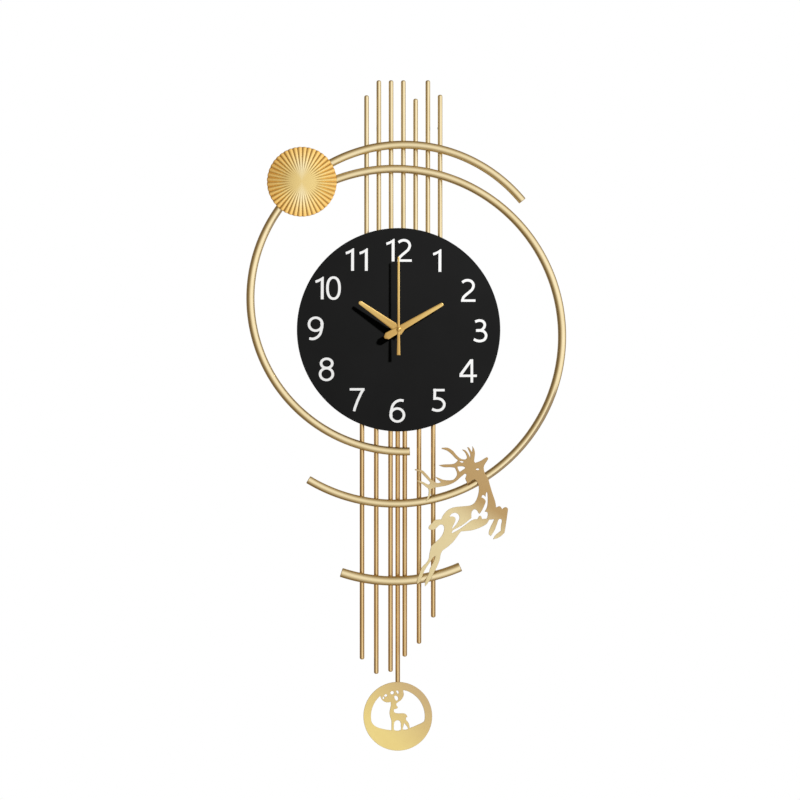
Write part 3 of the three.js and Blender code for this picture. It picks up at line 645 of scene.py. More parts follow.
def sheet_steel():
    """Zinc-plated steel: cool, slightly blotched, with rolling lines."""
    finish = Finish("steel", Metallic=1.0)
    cells = finish.noise(finish.place(), 260, 4, 0.7)
    lines = finish.noise(finish.place((1, 1, 0.05)), 1500, 2)
    finish.colour(finish.ramp(cells, [(0.3, linear(148, 150, 152)), (0.7, linear(186, 188, 188))]))
    finish.roughness(finish.between(cells, 0.28, 0.46))
    finish.bump(finish.sum(lines, cells, 0.6), 0.015 * MM, 0.4)
    return finish.material


def back_paint():
    """Powder-coated plate behind the dial."""
    finish = Finish("back_paint", Specular_IOR_Level=0.35)
    peel = finish.noise(finish.place(), 520, 4, 0.6)
    broad = finish.noise(finish.place(), 18, 4)
    finish.colour(finish.ramp(broad, [(0.3, linear(38, 38, 40)), (0.7, linear(48, 48, 50))]))
    finish.roughness(finish.between(peel, 0.45, 0.6))
    finish.bump(peel, 0.08 * MM, 0.5)
    return finish.material


def turned_brass():
    finish = Finish("brass", Metallic=1.0)
    lines = finish.noise(finish.place((0.2, 1, 0.2)), 4200, 3, 0.6)
    stain = finish.noise(finish.place(), 160, 4)
    tone = finish.ramp(lines, [(0.3, linear(196, 156, 86)), (0.7, linear(226, 190, 120))])
    finish.colour(finish.blend(finish.between(stain, 0, 0.3), tone, linear(150, 110, 56)))
    finish.roughness(finish.between(lines, 0.24, 0.38))
    finish.bump(lines, 0.02 * MM, 0.5)
    return finish.material


def copper_wire():
    finish = Finish("copper", Metallic=0.9, Coat_Weight=0.6, Coat_Roughness=0.15)
    mottled = finish.noise(finish.place(), 700, 3)
    finish.colour(finish.ramp(mottled, [(0.3, linear(158, 74, 40)), (0.7, linear(205, 112, 66))]))
    finish.roughness(finish.between(mottled, 0.25, 0.4))
    finish.bump(mottled, 0.02 * MM, 0.3)
    return finish.material


def black_rubber():
    finish = Finish("rubber", Specular_IOR_Level=0.3)
    pores = finish.noise(finish.place(), 1400, 4, 0.7)
    dust = finish.noise(finish.place(), 220, 3)
    finish.colour(finish.ramp(dust, [(0.35, linear(26, 26, 27)), (0.75, linear(48, 47, 46))]))
    finish.roughness(finish.between(pores, 0.75, 0.95))
    finish.bump(pores, 0.06 * MM, 0.5)
    return finish.material


def circuit_green():
    finish = Finish("circuit", Specular_IOR_Level=0.5, Coat_Weight=0.3, Coat_Roughness=0.2)
    weave = finish.noise(finish.place(), 1700, 2)
    tracks = finish.node("ShaderNodeTexBrick", offset=0.5)
    tracks.inputs["Scale"].default_value = 240
    tracks.inputs["Mortar Size"].default_value = 0.12
    tracks.inputs["Color1"].default_value = (*linear(20, 84, 46), 1)
    tracks.inputs["Color2"].default_value = (*linear(24, 92, 52), 1)
    tracks.inputs["Mortar"].default_value = (*linear(52, 128, 74), 1)
    finish.link(finish.place((1, 1, 1)), tracks.inputs["Vector"])
    finish.colour(tracks.outputs["Color"])
    finish.roughness(finish.between(weave, 0.3, 0.45))
    finish.bump(weave, 0.02 * MM, 0.3)
    return finish.material


def battery_sleeve():
    """Printed plastic sleeve: dark body, copper-coloured shoulder, plain of any mark."""
    finish = Finish("battery_wrap", Specular_IOR_Level=0.6, Coat_Weight=0.5, Coat_Roughness=0.12)
    split = finish.node("ShaderNodeSeparateXYZ")
    finish.link(finish.place(), split.inputs[0])
    low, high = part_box("battery")
    share = finish.between(split.outputs["X"], 0, 1, low.x, high.x)
    band = finish.ramp(share, [(0.0, linear(44, 46, 50)), (0.70, linear(44, 46, 50)),
                               (0.705, linear(196, 120, 62)), (1.0, linear(196, 120, 62))])
    scuff = finish.noise(finish.place((0.3, 1, 1)), 600, 4)
    worn = finish.ramp(scuff, [(0.35, linear(225, 225, 225)), (0.6, linear(255, 255, 255))])
    finish.colour(finish.blend(0.5, band, worn, "MULTIPLY"))
    finish.roughness(finish.between(scuff, 0.25, 0.42))
    finish.bump(scuff, 0.02 * MM, 0.3)
    return finish.material


def weld_gold():
    """Weld metal under the plating: rippled and a little burnt in patches."""
    finish = Finish("weld_gold", Metallic=1.0)
    ripple = finish.noise(finish.place((1, 1, 1)), 900, 4, 0.7)
    finish.colour(finish.ramp(ripple, [(0.3, linear(176, 138, 82)), (0.7, linear(224, 190, 130))]))
    finish.roughness(finish.between(ripple, 0.32, 0.5))
    finish.bump(ripple, 0.15 * MM, 0.6)
    return finish.material


deer_low, deer_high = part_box("deer_plate")
bob_low, bob_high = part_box("pendulum_bob")

SATIN_GOLD = drawn_gold("satin_gold", linear(234, 217, 175), linear(239, 223, 183), linear(243, 228, 190))
TUBE_GOLD = drawn_gold("satin_gold_tube", linear(234, 217, 175), linear(239, 223, 183), linear(243, 228, 190), (0.3, 0.2, 0.1, 1.0))
# Painted shade: a darker, more orange copy of the rod gold for the lower rods and the pendulum rod
SHADED_GOLD = drawn_gold("satin_gold_painted_shade", linear(224, 193, 140), linear(230, 200, 148), linear(235, 207, 156))
# Painted shade: the deer and the bob are darker towards the upper right of their boxes and lighter towards the lower
# left
DEER_GOLD = blasted_gold(
    "matte_gold", 0.7, deer_high, deer_low, linear(198, 167, 118), linear(241, 226, 180), (0.36, 0.51),
)
BOB_GOLD = blasted_gold(
    "matte_gold_bob", 0.85, bob_high, bob_low, linear(214, 187, 144), linear(255, 235, 160), (0.1, 0.72),
)
BRIGHT_GOLD = leaf_gold()
HAND_GOLD = hand_gold()
WELD_GOLD = weld_gold()
DIAL_BLACK = dial_black()
NUMERAL_WHITE = numeral_white()
CASE_PLASTIC = plastic("case_plastic", linear(34, 35, 38), linear(46, 47, 50))
GEAR_PLASTIC = plastic("gear_plastic", linear(222, 219, 208), linear(236, 234, 226), 1600, 0.35, 0.5)
STEEL = sheet_steel()
BACK_PAINT = back_paint()
BRASS = turned_brass()
COPPER = copper_wire()
RUBBER = black_rubber()
CIRCUIT = circuit_green()
BATTERY_WRAP = battery_sleeve()


# ---------------------------------------------------------------- rods and tubes

def upright_bar(name, node, body, material, end_round=ROD_END_ROUND):
    """A rod that stands where its CAD node stands, with rounded ends."""
    low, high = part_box(node)
    centre = (low + high) / 2
    radius = (high.x - low.x) / 2
    ends = end_rounding(radius, end_round)
    profile = [(0, low.z)]
    profile += [(r, low.z + back) for back, r in ends]
    profile += [(r, high.z - back) for back, r in reversed(ends)]
    profile.append((0, high.z))
    stations = []
    along, across, over = AXES["Z"]
    for r, z in profile[1:-1]:
        stations.append((Vector((centre.x, centre.y, z)), across, over, r, z))
    return piece_of(name, swept(name, stations), material, body, [node])


def ring_of(node):
    """Centre, ring radius, tube radius and end angles of a bent tube, from its CAD node."""
    low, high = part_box(node)
    tube_radius = (high.y - low.y) / 2
    crest = np.array([
        (v.co.x, v.co.z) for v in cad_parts[node].data.vertices if v.co.y < low.y + 5e-6
    ])
    terms = np.column_stack([2 * crest, np.ones(len(crest))])
    fit = np.linalg.lstsq(terms, (crest ** 2).sum(axis=1), rcond=None)[0]
    centre = Vector((fit[0], (low.y + high.y) / 2, fit[1]))
    radius = math.sqrt(fit[2] + fit[0] ** 2 + fit[1] ** 2)
    angles = np.sort(np.arctan2(crest[:, 1] - fit[1], crest[:, 0] - fit[0]))
    gaps = np.append(np.diff(angles), angles[0] + 2 * math.pi - angles[-1])
    widest = int(np.argmax(gaps))
    first = angles[(widest + 1) % len(angles)]
    last = angles[widest]
    if last < first:
        last += 2 * math.pi
    return {"centre": centre, "radius": radius, "tube": tube_radius, "from": first, "to": last}


RINGS = {node: ring_of(node) for node in ("ring_tube_left", "ring_tube_right", "arc_tube_lower")}
RODS = [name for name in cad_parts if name.startswith(("upper_rod_", "lower_rod_"))]


def bent_tube(node):
    ring = RINGS[node]
    centre, reach, tube = ring["centre"], ring["radius"], ring["tube"]
    depth = Vector((0, 1, 0))

    def station(angle, radius):
        across = Vector((math.cos(angle), 0, math.sin(angle)))
        return (centre + across * reach, across, depth, radius, angle * reach)

    ends = end_rounding(tube, TUBE_END_ROUND)
    edge = TUBE_END_ROUND / reach
    steps = round((ring["to"] - ring["from"]) / TUBE_STEP)
    stations = [station(ring["from"] + back / reach, radius) for back, radius in ends]
    for k in range(1, steps):
        share = k / steps
        stations.append(station(ring["from"] + edge + (ring["to"] - ring["from"] - 2 * edge) * share, tube))
    stations += [station(ring["to"] - back / reach, radius) for back, radius in reversed(ends)]
    piece_of(f"{node}_bent", swept(node, stations), TUBE_GOLD, "root", [node])


def weld_bead(name, place, size, seed):
    """A small rippled bead of weld metal between two bars."""
    rings = 10
    sides = 20
    points = []
    for i in range(1, rings):
        polar = math.pi * i / rings
        for k in range(sides):
            turn = 2 * math.pi * k / sides
            ripple = 1 + 0.07 * math.sin(5 * turn + seed) + 0.05 * math.sin(9 * polar + 2 * seed)
            points.append(place + Vector((
                size.x * math.sin(polar) * math.cos(turn) * ripple,
                size.y * math.cos(polar),
                size.z * math.sin(polar) * math.sin(turn) * ripple,
            )))
    faces = grid_faces(rings - 1, sides)
    faces.append(tuple(range(sides)))
    faces.append(tuple(range((rings - 2) * sides, (rings - 1) * sides)))
    mesh = outward(mesh_of(name, points, faces))
    return mesh


def crossings(ring, rod_x, low_z, high_z):
    """Heights at which a ring's centreline crosses an upright rod."""
    offset = rod_x - ring["centre"].x
    if abs(offset) >= ring["radius"]:
        return []
    rise = math.sqrt(ring["radius"] ** 2 - offset ** 2)
    found = []
    for sign in (1, -1):
        z = ring["centre"].z + sign * rise
        angle = math.atan2(sign * rise, offset)
        while angle < ring["from"]:
            angle += 2 * math.pi
        if low_z < z < high_z and ring["from"] < angle < ring["to"]:
            found.append(z)
    return found


def weld_beads():
    beads = []
    for node, ring in RINGS.items():
        for rod in RODS:
            low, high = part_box(rod)
            rod_x = (low.x + high.x) / 2
            joint_y = (low.y + ring["centre"].y + ring["tube"]) / 2
            for z in crossings(ring, rod_x, low.z, high.z):
                place = Vector((rod_x, joint_y, z))
                beads.append(weld_bead("bead", place, Vector((3.4, 1.7, 4.6)) * MM, len(beads)))
    piece_of("frame_weld_beads", joined("frame_weld_beads", beads), WELD_GOLD, "root", [])


# Lower rods take the darker copy of the rod gold, painted shade
for rod_node in RODS:
    gold = SATIN_GOLD if rod_node.startswith("upper") else SHADED_GOLD
    upright_bar(f"{rod_node}_bar", rod_node, "root", gold)
for ring_node in RINGS:
    bent_tube(ring_node)
weld_beads()


# ---------------------------------------------------------------- medallion

PLEATS = 44
PLEAT_START = 13 * MM
PLEAT_FULL = 40 * MM
SHEET = 0.9 * MM


def medallion():
    low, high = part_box("medallion")
    centre = (low + high) / 2
    outer = (high.x - low.x) / 2
    crown = low.y
    rim = high.y - 3.0 * MM
    deep = 1.4 * MM
    columns = PLEATS * 12
    reaches = [outer * share for share in np.linspace(0.012, 0.985, 46)]
    reaches += [outer * share for share in (0.992, 0.997, 1.0)]
    points = []
    grain = []

    def surface(reach, turn):
        share = reach / outer
        upright = math.sin(turn) ** 4
        dome = crown + (rim - crown) * share ** 1.9
        start = min(1, max(0, (reach - PLEAT_START) / (PLEAT_FULL - PLEAT_START)))
        ease = start * start * (3 - 2 * start)
        across = abs((turn * PLEATS / (2 * math.pi)) % 1 - 0.5) * 2
        valley = across ** 2.0
        depth = deep * (1 - 0.35 * upright) * (0.1 + 0.9 * ease) * min(1, max(0, (share - 0.2) / 0.25))
        return dome + depth * valley, valley

    for side in (0, 1):
        rows = reaches if side == 0 else list(reversed(reaches))
        for reach in rows:
            for k in range(columns):
                turn = 2 * math.pi * k / columns
                y, valley = surface(reach, turn)
                lip = max(0, (reach / outer - 0.985) / 0.015)
                scallop = 1 - 0.012 * valley * (reach / outer) ** 6
                edge = SHEET * 0.5 * lip * lip
                depth = y + edge if side == 0 else y + SHEET - edge
                points.append((
                    centre.x + reach * scallop * math.cos(turn),
                    depth,
                    centre.z + reach * scallop * math.sin(turn),
                ))
                grain.append((reach, depth, turn * 0.3 * MM))
    rows = 2 * len(reaches)
    faces = grid_faces(rows, columns)
    faces.append(tuple(range(columns)))
    faces.append(tuple(range((rows - 1) * columns, rows * columns)))
    mesh = outward(with_grain(mesh_of("medallion_pleated", points, faces), grain))
    # Painted highlight: glow marks an upright band above and below the middle where the finish paints a pale sheen
    glow = mesh.attributes.new("glow", "FLOAT", "POINT")
    for vertex, value in zip(mesh.vertices, glow.data):
        dx = (vertex.co.x - centre.x) / outer
        dz = (vertex.co.z - centre.z) / outer
        reach = math.hypot(dx, dz)
        upright = (abs(dz) / max(reach, 1e-6)) ** 10
        value.value = upright * math.exp(-((reach - 0.38) / 0.3) ** 2)
    piece_of("medallion_pleated", mesh, BRIGHT_GOLD, "root", ["medallion"], False)


def stud():
    """The post that carries the medallion, with a weld fillet at each end."""
    low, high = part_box("medallion_stud")
    crown = front_of("medallion")
    radius = (high.x - low.x) / 2
    front = crown + SHEET + 0.2 * MM
    back = high.y + 0.5 * MM
    profile = rounded([
        (0, front), (radius + 2 * MM, front), (radius + 0.4 * MM, front + 1.4 * MM), (radius, front + 2.6 * MM),
        (radius, back - 1.6 * MM), (radius + 1.2 * MM, back), (0, back),
    ], 0.6 * MM)
    mesh = turned("medallion_post", profile, (low + high) / 2)
    piece_of("medallion_post", mesh, BRASS, "root", ["medallion_stud"])


medallion()
stud()


# ---------------------------------------------------------------- deer, bob and hands

def smooth_loops(node, at_y, steps):
    return [
        flowing(without_straight_points(loop), steps, ring=True)
        for loop in face_loops(node, at_y)
    ]


def flat_piece(name, node, material, body, edge, steps=4, at_back=False):
    front = front_of(node)
    back = back_of(node)
    loops = smooth_loops(node, back if at_back else front, steps)
    mesh = plate(name, loops, front, back, edge)
    return piece_of(name, mesh, material, body, [node])


def standoff(node):
    """A short post with a weld fillet where it meets the tube."""
    low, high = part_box(node)
    radius = (high.x - low.x) / 2
    front = low.y - 0.4 * MM
    back = high.y + 0.9 * MM
    profile = rounded([
        (0, front), (radius + 0.8 * MM, front), (radius, front + 0.9 * MM),
        (radius, back - 1.6 * MM), (radius + 1.3 * MM, back), (0, back),
    ], 0.4 * MM)
    mesh = turned(f"{node}_post", profile, (low + high) / 2)
    piece_of(f"{node}_post", mesh, SATIN_GOLD, "root", [node])


HANDS = bpy.data.collections.new("hands")
CAP_RADIUS = 3.1 * MM


def hand_turn(node):
    """Clockwise angle of a hand, from the far end of its outline."""
    axis = middle_of("dial")
    far = max(
        (v.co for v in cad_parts[node].data.vertices),
        key=lambda co: (co.x - axis.x) ** 2 + (co.z - axis.z) ** 2,
    )
    return math.atan2(far.x - axis.x, far.z - axis.z)


def hand(name, node, body, chamfer):
    """A thin pressed hand whose edges fall away in a wide, shallow chamfer."""
    front = front_of(node)
    back = back_of(node)
    axis = middle_of("dial")
    thick = 0.8 * MM if node == "second_hand" else back - front
    loops = smooth_loops(node, back, 5)
    full = 2 * chamfer + 0.2 * MM
    mesh = plate(name, loops, -full, 0, chamfer, 0)
    mesh.transform(Matrix.Translation((0, back, 0)) @ Matrix.Diagonal((1, thick / full, 1, 1)))
    parts = [mesh]
    if node == "second_hand":
        top = back - thick
        dome = [(0, front)]
        dome += [(CAP_RADIUS * math.sin(a), front + (top - front) * (1 - math.cos(a)))
                 for a in np.linspace(0.15, math.pi / 2, 10)]
        dome += [(CAP_RADIUS, back - 0.05 * MM), (0, back - 0.05 * MM)]
        parts.append(turned("cap", dome, axis, sides=36))
    whole = joined(name, parts)
    turn = hand_turn(node)
    grain = []
    for vertex in whole.vertices:
        x = vertex.co.x - axis.x
        z = vertex.co.z - axis.z
        across = x * math.cos(turn) - z * math.sin(turn)
        along = x * math.sin(turn) + z * math.cos(turn)
        grain.append((across, vertex.co.y, along))
    if "grain" in whole.attributes:
        whole.attributes.remove(whole.attributes["grain"])
    with_grain(whole, grain)
    HANDS.objects.link(piece_of(name, whole, HAND_GOLD, body, [node]))


flat_piece("deer_cut_plate", "deer_plate", DEER_GOLD, "root", 0.5 * MM)
standoff("deer_standoff_neck")
standoff("deer_standoff_leg")
flat_piece("pendulum_bob_plate", "pendulum_bob", BOB_GOLD, "pendulum", 0.5 * MM)
# The pendulum rod takes the darker copy of the rod gold, painted shade
upright_bar("pendulum_rod_bar", "pendulum_rod", "pendulum", SHADED_GOLD)
hand("hour_hand_blade", "hour_hand", "hours", 1.1 * MM)
hand("minute_hand_blade", "minute_hand", "minutes", 1.1 * MM)
hand("second_hand_needle", "second_hand", "seconds", 0.9 * MM)


# ---------------------------------------------------------------- dial and numerals

FIGURE_HEIGHT = 34.4 * MM
STROKE = 3.8 * MM
BAR_STROKE = 3.5 * MM
INK = 0.15 * MM
FIGURE_ACROSS = 121.4 * MM
FIGURE_UP = 118.4 * MM
FIGURE_DROP = 0.4 * MM
FIGURE_LEFT = 0.6 * MM
DIAL_TURN = math.radians(0.8)

# How far each printed figure stands from its even place, in millimetres to the right and up
FIGURE_NUDGE = {
    1: (-4.8, 0.4), 2: (-2.4, 0.7), 3: (0, 0.4), 4: (-1.1, 0.4), 5: (0.5, -0.3), 6: (0.3, -1),
    7: (1.8, -0.8), 8: (0.3, -0.5), 9: (-0.2, 1), 10: (1, 0.9), 11: (-2, 0.2), 12: (-0.2, -1),
}


def curve_quads(points, width=STROKE):
    """A stroke of constant width along a smooth line, as quads."""
    line = [Vector(p) for p in flowing([(x * MM, z * MM) for x, z in points], 8, corner=math.radians(80))]
    edges = []
    for i, here in enumerate(line):
        ahead = line[min(i + 1, len(line) - 1)]
        behind = line[max(i - 1, 0)]
        tangent = (ahead - behind).normalized()
        side = Vector((-tangent.y, tangent.x)) * width / 2
        edges.append((here + side, here - side))
    return [[a[0], b[0], b[1], a[1]] for a, b in zip(edges, edges[1:])]


def bar_quads(start, end, width=BAR_STROKE):
    return curve_quads([start, end], width)


def ring_quads(centre, outer, inner, power=2.0):
    """A round or squarish ring between two ovals, as quads."""
    steps = 72

    def oval(size, k):
        angle = 2 * math.pi * k / steps
        c = math.cos(angle)
        s = math.sin(angle)
        x = math.copysign(abs(c) ** (2 / power), c) * size[0]
        z = math.copysign(abs(s) ** (2 / power), s) * size[1]
        return Vector((centre[0] + x, centre[1] + z)) * MM

    return [[oval(outer, k), oval(outer, k + 1), oval(inner, k + 1), oval(inner, k)] for k in range(steps)]


def shape(points):
    return [[Vector((x, z)) * MM for x, z in points]]


def half_turned(quads, width, height):
    return [[Vector((width * MM - p.x, height - p.y)) for p in quad] for quad in quads]


SIX = (curve_quads([(21.5, 32.4), (16.2, 33), (9.7, 30.4), (4.9, 24.5), (2.7, 15.5), (3.4, 9)])
       + ring_quads((12.2, 11.3), (11.7, 11.3), (7.8, 7.8)))

# Each figure is its width and the strokes that it is made of, in millimetres from its lower left
FIGURES = {
    "0": (22.8, ring_quads((11.4, 17.4), (10.8, 17.3), (6.9, 13.8), 2.3)),
    "1": (13.1, shape([(8.6, 0.9), (12.8, 0.9), (12.9, 34.1), (11.4, 34.1), (8.8, 32.2), (5.9, 30.6),
                       (3.2, 29.5), (0.5, 28.6), (1.1, 24.9), (5.4, 26.4), (8.7, 28.5)])),
    "2": (23, curve_quads([(2.4, 28.9), (5.9, 31.2), (10.9, 32.1), (16.5, 29.9), (19, 24.8), (17.1, 18.9),
                           (12.5, 14.4), (7.4, 10.2), (3.8, 6.2), (2.8, 2.2)])
          + bar_quads((0.7, 2.15), (21.9, 2.15))),
    "3": (21.7, curve_quads([(3, 30.6), (6.4, 32), (10.6, 32.4), (15, 30.7), (17.1, 26.2), (15.3, 21.2),
                             (12.4, 18.6), (9.4, 17.8), (4.2, 17.8)])
          + curve_quads([(4.2, 17.8), (10.6, 17.8), (15.9, 16.2), (19.1, 10.6), (17.1, 5), (10.2, 2.2),
                         (5, 2.9), (1, 4.9)])),
    "4": (25.6, bar_quads((18.2, 0), (18.2, 34.2), 3.8 * MM) + bar_quads((0, 9.95), (25.6, 9.95))
          + shape([(0, 12.1), (0, 12.6), (15.7, 34.2), (18.2, 34.2), (18.2, 29.4), (16.2, 28.1), (4.2, 11.5)])),
    "5": (21.2, bar_quads((2.6, 32.2), (19.3, 32.2)) + bar_quads((5, 34.2), (4.5, 18), STROKE)
          + curve_quads([(3, 19.9), (9.4, 19.9), (15, 18), (18.8, 12.4), (16.5, 5.3), (10, 2.2), (4.7, 2.8),
                         (0.9, 4.4)])),
    "6": (24.2, SIX),
    "7": (22.1, bar_quads((0, 32.2), (21.8, 32.2)) + curve_quads([(19.6, 31.6), (16.2, 25.6), (11.3, 14.9),
                                                                 (7.4, 4.2), (6.4, 0)])),
    "8": (22.7, ring_quads((11.6, 26.2), (10.2, 8.6), (6.3, 5))
          + ring_quads((11.3, 10.4), (11.3, 10.4), (7.4, 6.9))),
    "9": (24.2, half_turned(SIX, 24.2, FIGURE_HEIGHT)),
}
FIGURE_STEP = {"10": 15.9 * MM, "11": 20.3 * MM, "12": 16.3 * MM}


def covered(place, outlines):
    """True where a place lies inside at least one of the outlines."""
    for outline in outlines:
        inside = False
        for a, b in zip(outline, outline[1:] + outline[:1]):
            if (a.y > place.y) != (b.y > place.y):
                if place.x < a.x + (b.x - a.x) * (place.y - a.y) / (b.y - a.y):
                    inside = not inside
        if inside:
            return True
    return False


def filled(outlines):
    """Points and triangles that cover the union of overlapping outlines, each place once."""
    points = []
    edges = []
    for outline in outlines:
        first = len(points)
        count = len(outline)
        edges.extend((first + i, first + (i + 1) % count) for i in range(count))
        points.extend(Vector(p) for p in outline)
    flat, _, triangles, *_ = delaunay_2d_cdt(points, edges, [], 0, 1e-7)
    kept = [
        triangle for triangle in triangles
        if covered((flat[triangle[0]] + flat[triangle[1]] + flat[triangle[2]]) / 3, outlines)
    ]
    used = sorted({i for triangle in kept for i in triangle})
    place_of = {i: k for k, i in enumerate(used)}
    return [flat[i] for i in used], [[place_of[i] for i in triangle] for triangle in kept]


def numeral(hour, front):
    text = str(hour)
    quads = []
    for i, digit in enumerate(text):
        shift = Vector((i * FIGURE_STEP.get(text, 0), 0))
        quads += [[point + shift for point in quad] for quad in FIGURES[digit][1]]
    width = FIGURES[text[-1]][0] * MM + (len(text) - 1) * FIGURE_STEP.get(text, 0)
    angle = math.radians(30 * hour)
    centre = middle_of("dial")
    across = FIGURE_ACROSS * math.sin(angle)
    up = FIGURE_UP * math.cos(angle)
    right, raised = (value * MM for value in FIGURE_NUDGE[hour])
    left = centre.x + across + up * DIAL_TURN - FIGURE_LEFT + right - width / 2
    foot = centre.z + up - across * DIAL_TURN - FIGURE_DROP + raised - FIGURE_HEIGHT / 2
    flat, triangles = filled(quads)
    count = len(flat)
    points = [(left + p.x, front - INK, foot + p.y) for p in flat]
    points += [(left + p.x, front + 0.1 * MM, foot + p.y) for p in flat]
    faces = []
    rims = {}
    for triangle in triangles:
        faces.append(tuple(triangle))
        faces.append(tuple(i + count for i in reversed(triangle)))
        for a, b in zip(triangle, triangle[1:] + triangle[:1]):
            if (b, a) in rims:
                del rims[(b, a)]
            else:
                rims[(a, b)] = True
    faces.extend((b, a, a + count, b + count) for a, b in rims)
    mesh = outward(mesh_of(f"hour_numeral_{hour}", points, faces))
    piece_of(f"hour_numeral_{hour}", mesh, NUMERAL_WHITE, "root", [], False)


def dial():
    low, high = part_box("dial")
    centre = (low + high) / 2
    radius = (high.x - low.x) / 2
    bore = 5 * MM
    profile = rounded([
        (bore, low.y), (radius, low.y), (radius, high.y), (bore, high.y),
    ], 0.7 * MM, ring=True)
    dense = []
    for (r0, y0), (r1, y1) in zip(profile, profile[1:] + profile[:1]):
        parts = max(1, round(abs(r1 - r0) / (12 * MM)))
        dense += [(r0 + (r1 - r0) * k / parts, y0 + (y1 - y0) * k / parts) for k in range(parts)]
    mesh = turned("dial_disc", dense, centre, sides=180, bored=True)
    piece_of("dial_disc", mesh, DIAL_BLACK, "root", ["dial"])
    for hour in range(1, 13):
        numeral(hour, low.y)


dial()


# ---------------------------------------------------------------- wall side

def oblong(low, high, radius):
    """A rectangle with round corners."""
    corners = [(low[0], low[1]), (high[0], low[1]), (high[0], high[1]), (low[0], high[1])]
    return rounded(corners, radius, 6, ring=True)


def circle(x, z, radius, steps=40):
    turns = (2 * math.pi * k / steps for k in range(steps))
    return [(x + radius * math.cos(turn), z + radius * math.sin(turn)) for turn in turns]


def width_of(loop):
    return max(point[0] for point in loop) - min(point[0] for point in loop)


def centre_of(loop):
    return tuple((max(values) + min(values)) / 2 for values in zip(*loop))


def washer(name, node, material, bore, edge, sides=64):
    """A flat turned ring in place of its CAD node."""
    low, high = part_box(node)
    outer = half_width_of(node)
    corners = [(bore, low.y), (outer, low.y), (outer, high.y), (bore, high.y)]
    mesh = turned(name, rounded(corners, edge, ring=True), (low + high) / 2, sides=sides, bored=True)
    piece_of(name, mesh, material, "root", [node])


def plate_welds():
    """Beads where the rods end on the back plate and where the hanger sits on two of them."""
    beads = []
    plate_back = back_of("back_plate")
    middle = middle_of("back_plate")
    hanger_low, hanger_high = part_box("wall_hanger")
    for rod in RODS:
        low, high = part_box(rod)
        rod_x = (low.x + high.x) / 2
        end = low.z if low.z > middle.z else high.z
        place = Vector((rod_x, plate_back + 1.6 * MM, end))
        beads.append(weld_bead("bead", place, Vector((4.4, 2.2, 3.4)) * MM, len(beads)))
        on_flange = 16 * MM < abs(rod_x) < 34 * MM
        if on_flange and low.z < hanger_low.z < high.z:
            for z in (hanger_low.z, hanger_high.z):
                place = Vector((rod_x, high.y + 0.5 * MM, z))
                beads.append(weld_bead("bead", place, Vector((3.6, 1.5, 2.2)) * MM, len(beads)))
    piece_of("plate_weld_beads", joined("plate_weld_beads", beads), WELD_GOLD, "root", [])


def wall_hanger():
    """Folded steel bracket with a keyhole for the nail."""
    low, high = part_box("wall_hanger")
    section = max(face_loops("wall_hanger", low.z, axis=2), key=width_of)
    folded = rounded(without_straight_points(section), 1.3 * MM, 5, ring=True)
    strip = slab("hanger_strip", [folded], low.z, high.z)
    keyhole = min(face_loops("wall_hanger", high.y), key=width_of)
    punch = plate("punch", [flowing(without_straight_points(keyhole), 4, True)], high.y - 4 * MM, high.y + MM)
    mesh = bevelled(cut_by(strip, [punch]), 0.18 * MM, 2, 50)
    piece_of("wall_hanger_bracket", mesh, STEEL, "root", ["wall_hanger"])


def wall_pad(node):
    low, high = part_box(node)
    wide = half_width_of(node)
    stem = wide - 0.7 * MM
    profile = [(0, low.y), (stem, low.y), (stem, high.y - 5 * MM), (wide, high.y - 3.6 * MM)]
    for k in range(3):
        place = high.y - (3.1 - 0.8 * k) * MM
        profile += [(wide, place), (wide - 0.25 * MM, place + 0.2 * MM), (wide, place + 0.4 * MM)]
    profile += [(wide - 0.5 * MM, high.y), (0, high.y)]
    mesh = turned(f"{node}_foot", rounded(profile, 0.15 * MM, 2), (low + high) / 2)
    piece_of(f"{node}_foot", mesh, RUBBER, "root", [node])


washer("back_plate_disc", "back_plate", BACK_PAINT, 5 * MM, 0.5 * MM, 144)
washer("dial_washer_ring", "dial_washer", BRASS, 4.8 * MM, 0.2 * MM)
flat_piece("dial_nut_hexagon", "dial_nut", BRASS, "root", 0.35 * MM)
plate_welds()
wall_hanger()
for pad in ("wall_pad_1", "wall_pad_2", "wall_pad_3", "wall_pad_4"):
    wall_pad(pad)


# ---------------------------------------------------------------- movement case

CASE_CORNER = 4 * MM
CASE_WALL = 1.2 * MM


def case_planes(node):
    """Front and back planes of a case half, read along its side wall."""
    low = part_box(node)[0]
    reach = [v.co.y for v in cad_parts[node].data.vertices if v.co.x < low.x + 0.01 * MM]
    return min(reach), max(reach)


def case_outline(node, inset=0.0):
    low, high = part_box(node)
    return oblong((low.x + inset, low.z + inset), (high.x - inset, high.z - inset), CASE_CORNER - inset)


def bushing(node, front, back):
    """The threaded neck that holds the dial."""
    axis = middle_of("dial")
    bore = 2.85 * MM
    crest = 4.5 * MM
    root = crest - 0.35 * MM
    pitch = 0.75 * MM
    profile = [(bore, back), (bore, front), (root, front)]
    for k in range(int((back - front) / pitch)):
        profile += [(crest, front + (k + 0.5) * pitch), (root, front + (k + 1) * pitch)]
    profile.append((root, back))
    return turned("bushing", profile, axis, sides=48, bored=True)


def front_case():
    node = "movement_front_case"
    front, back = case_planes(node)
    axis = middle_of("dial")
    body = plate("case_body", [case_outline(node)], front, back, 0.7 * MM, 3)
    hollow = plate("hollow", [case_outline(node, CASE_WALL)], front + CASE_WALL, back + MM)
    bore = plate("bore", [circle(axis.x, axis.z, 2.85 * MM)], front - MM, back)
    neck = bushing(node, front_of(node), front + 0.6 * MM)
    mesh = joined("case_front_shell", [cut_by(body, [hollow, bore]), neck])
    piece_of("case_front_shell", mesh, CASE_PLASTIC, "root", [node])


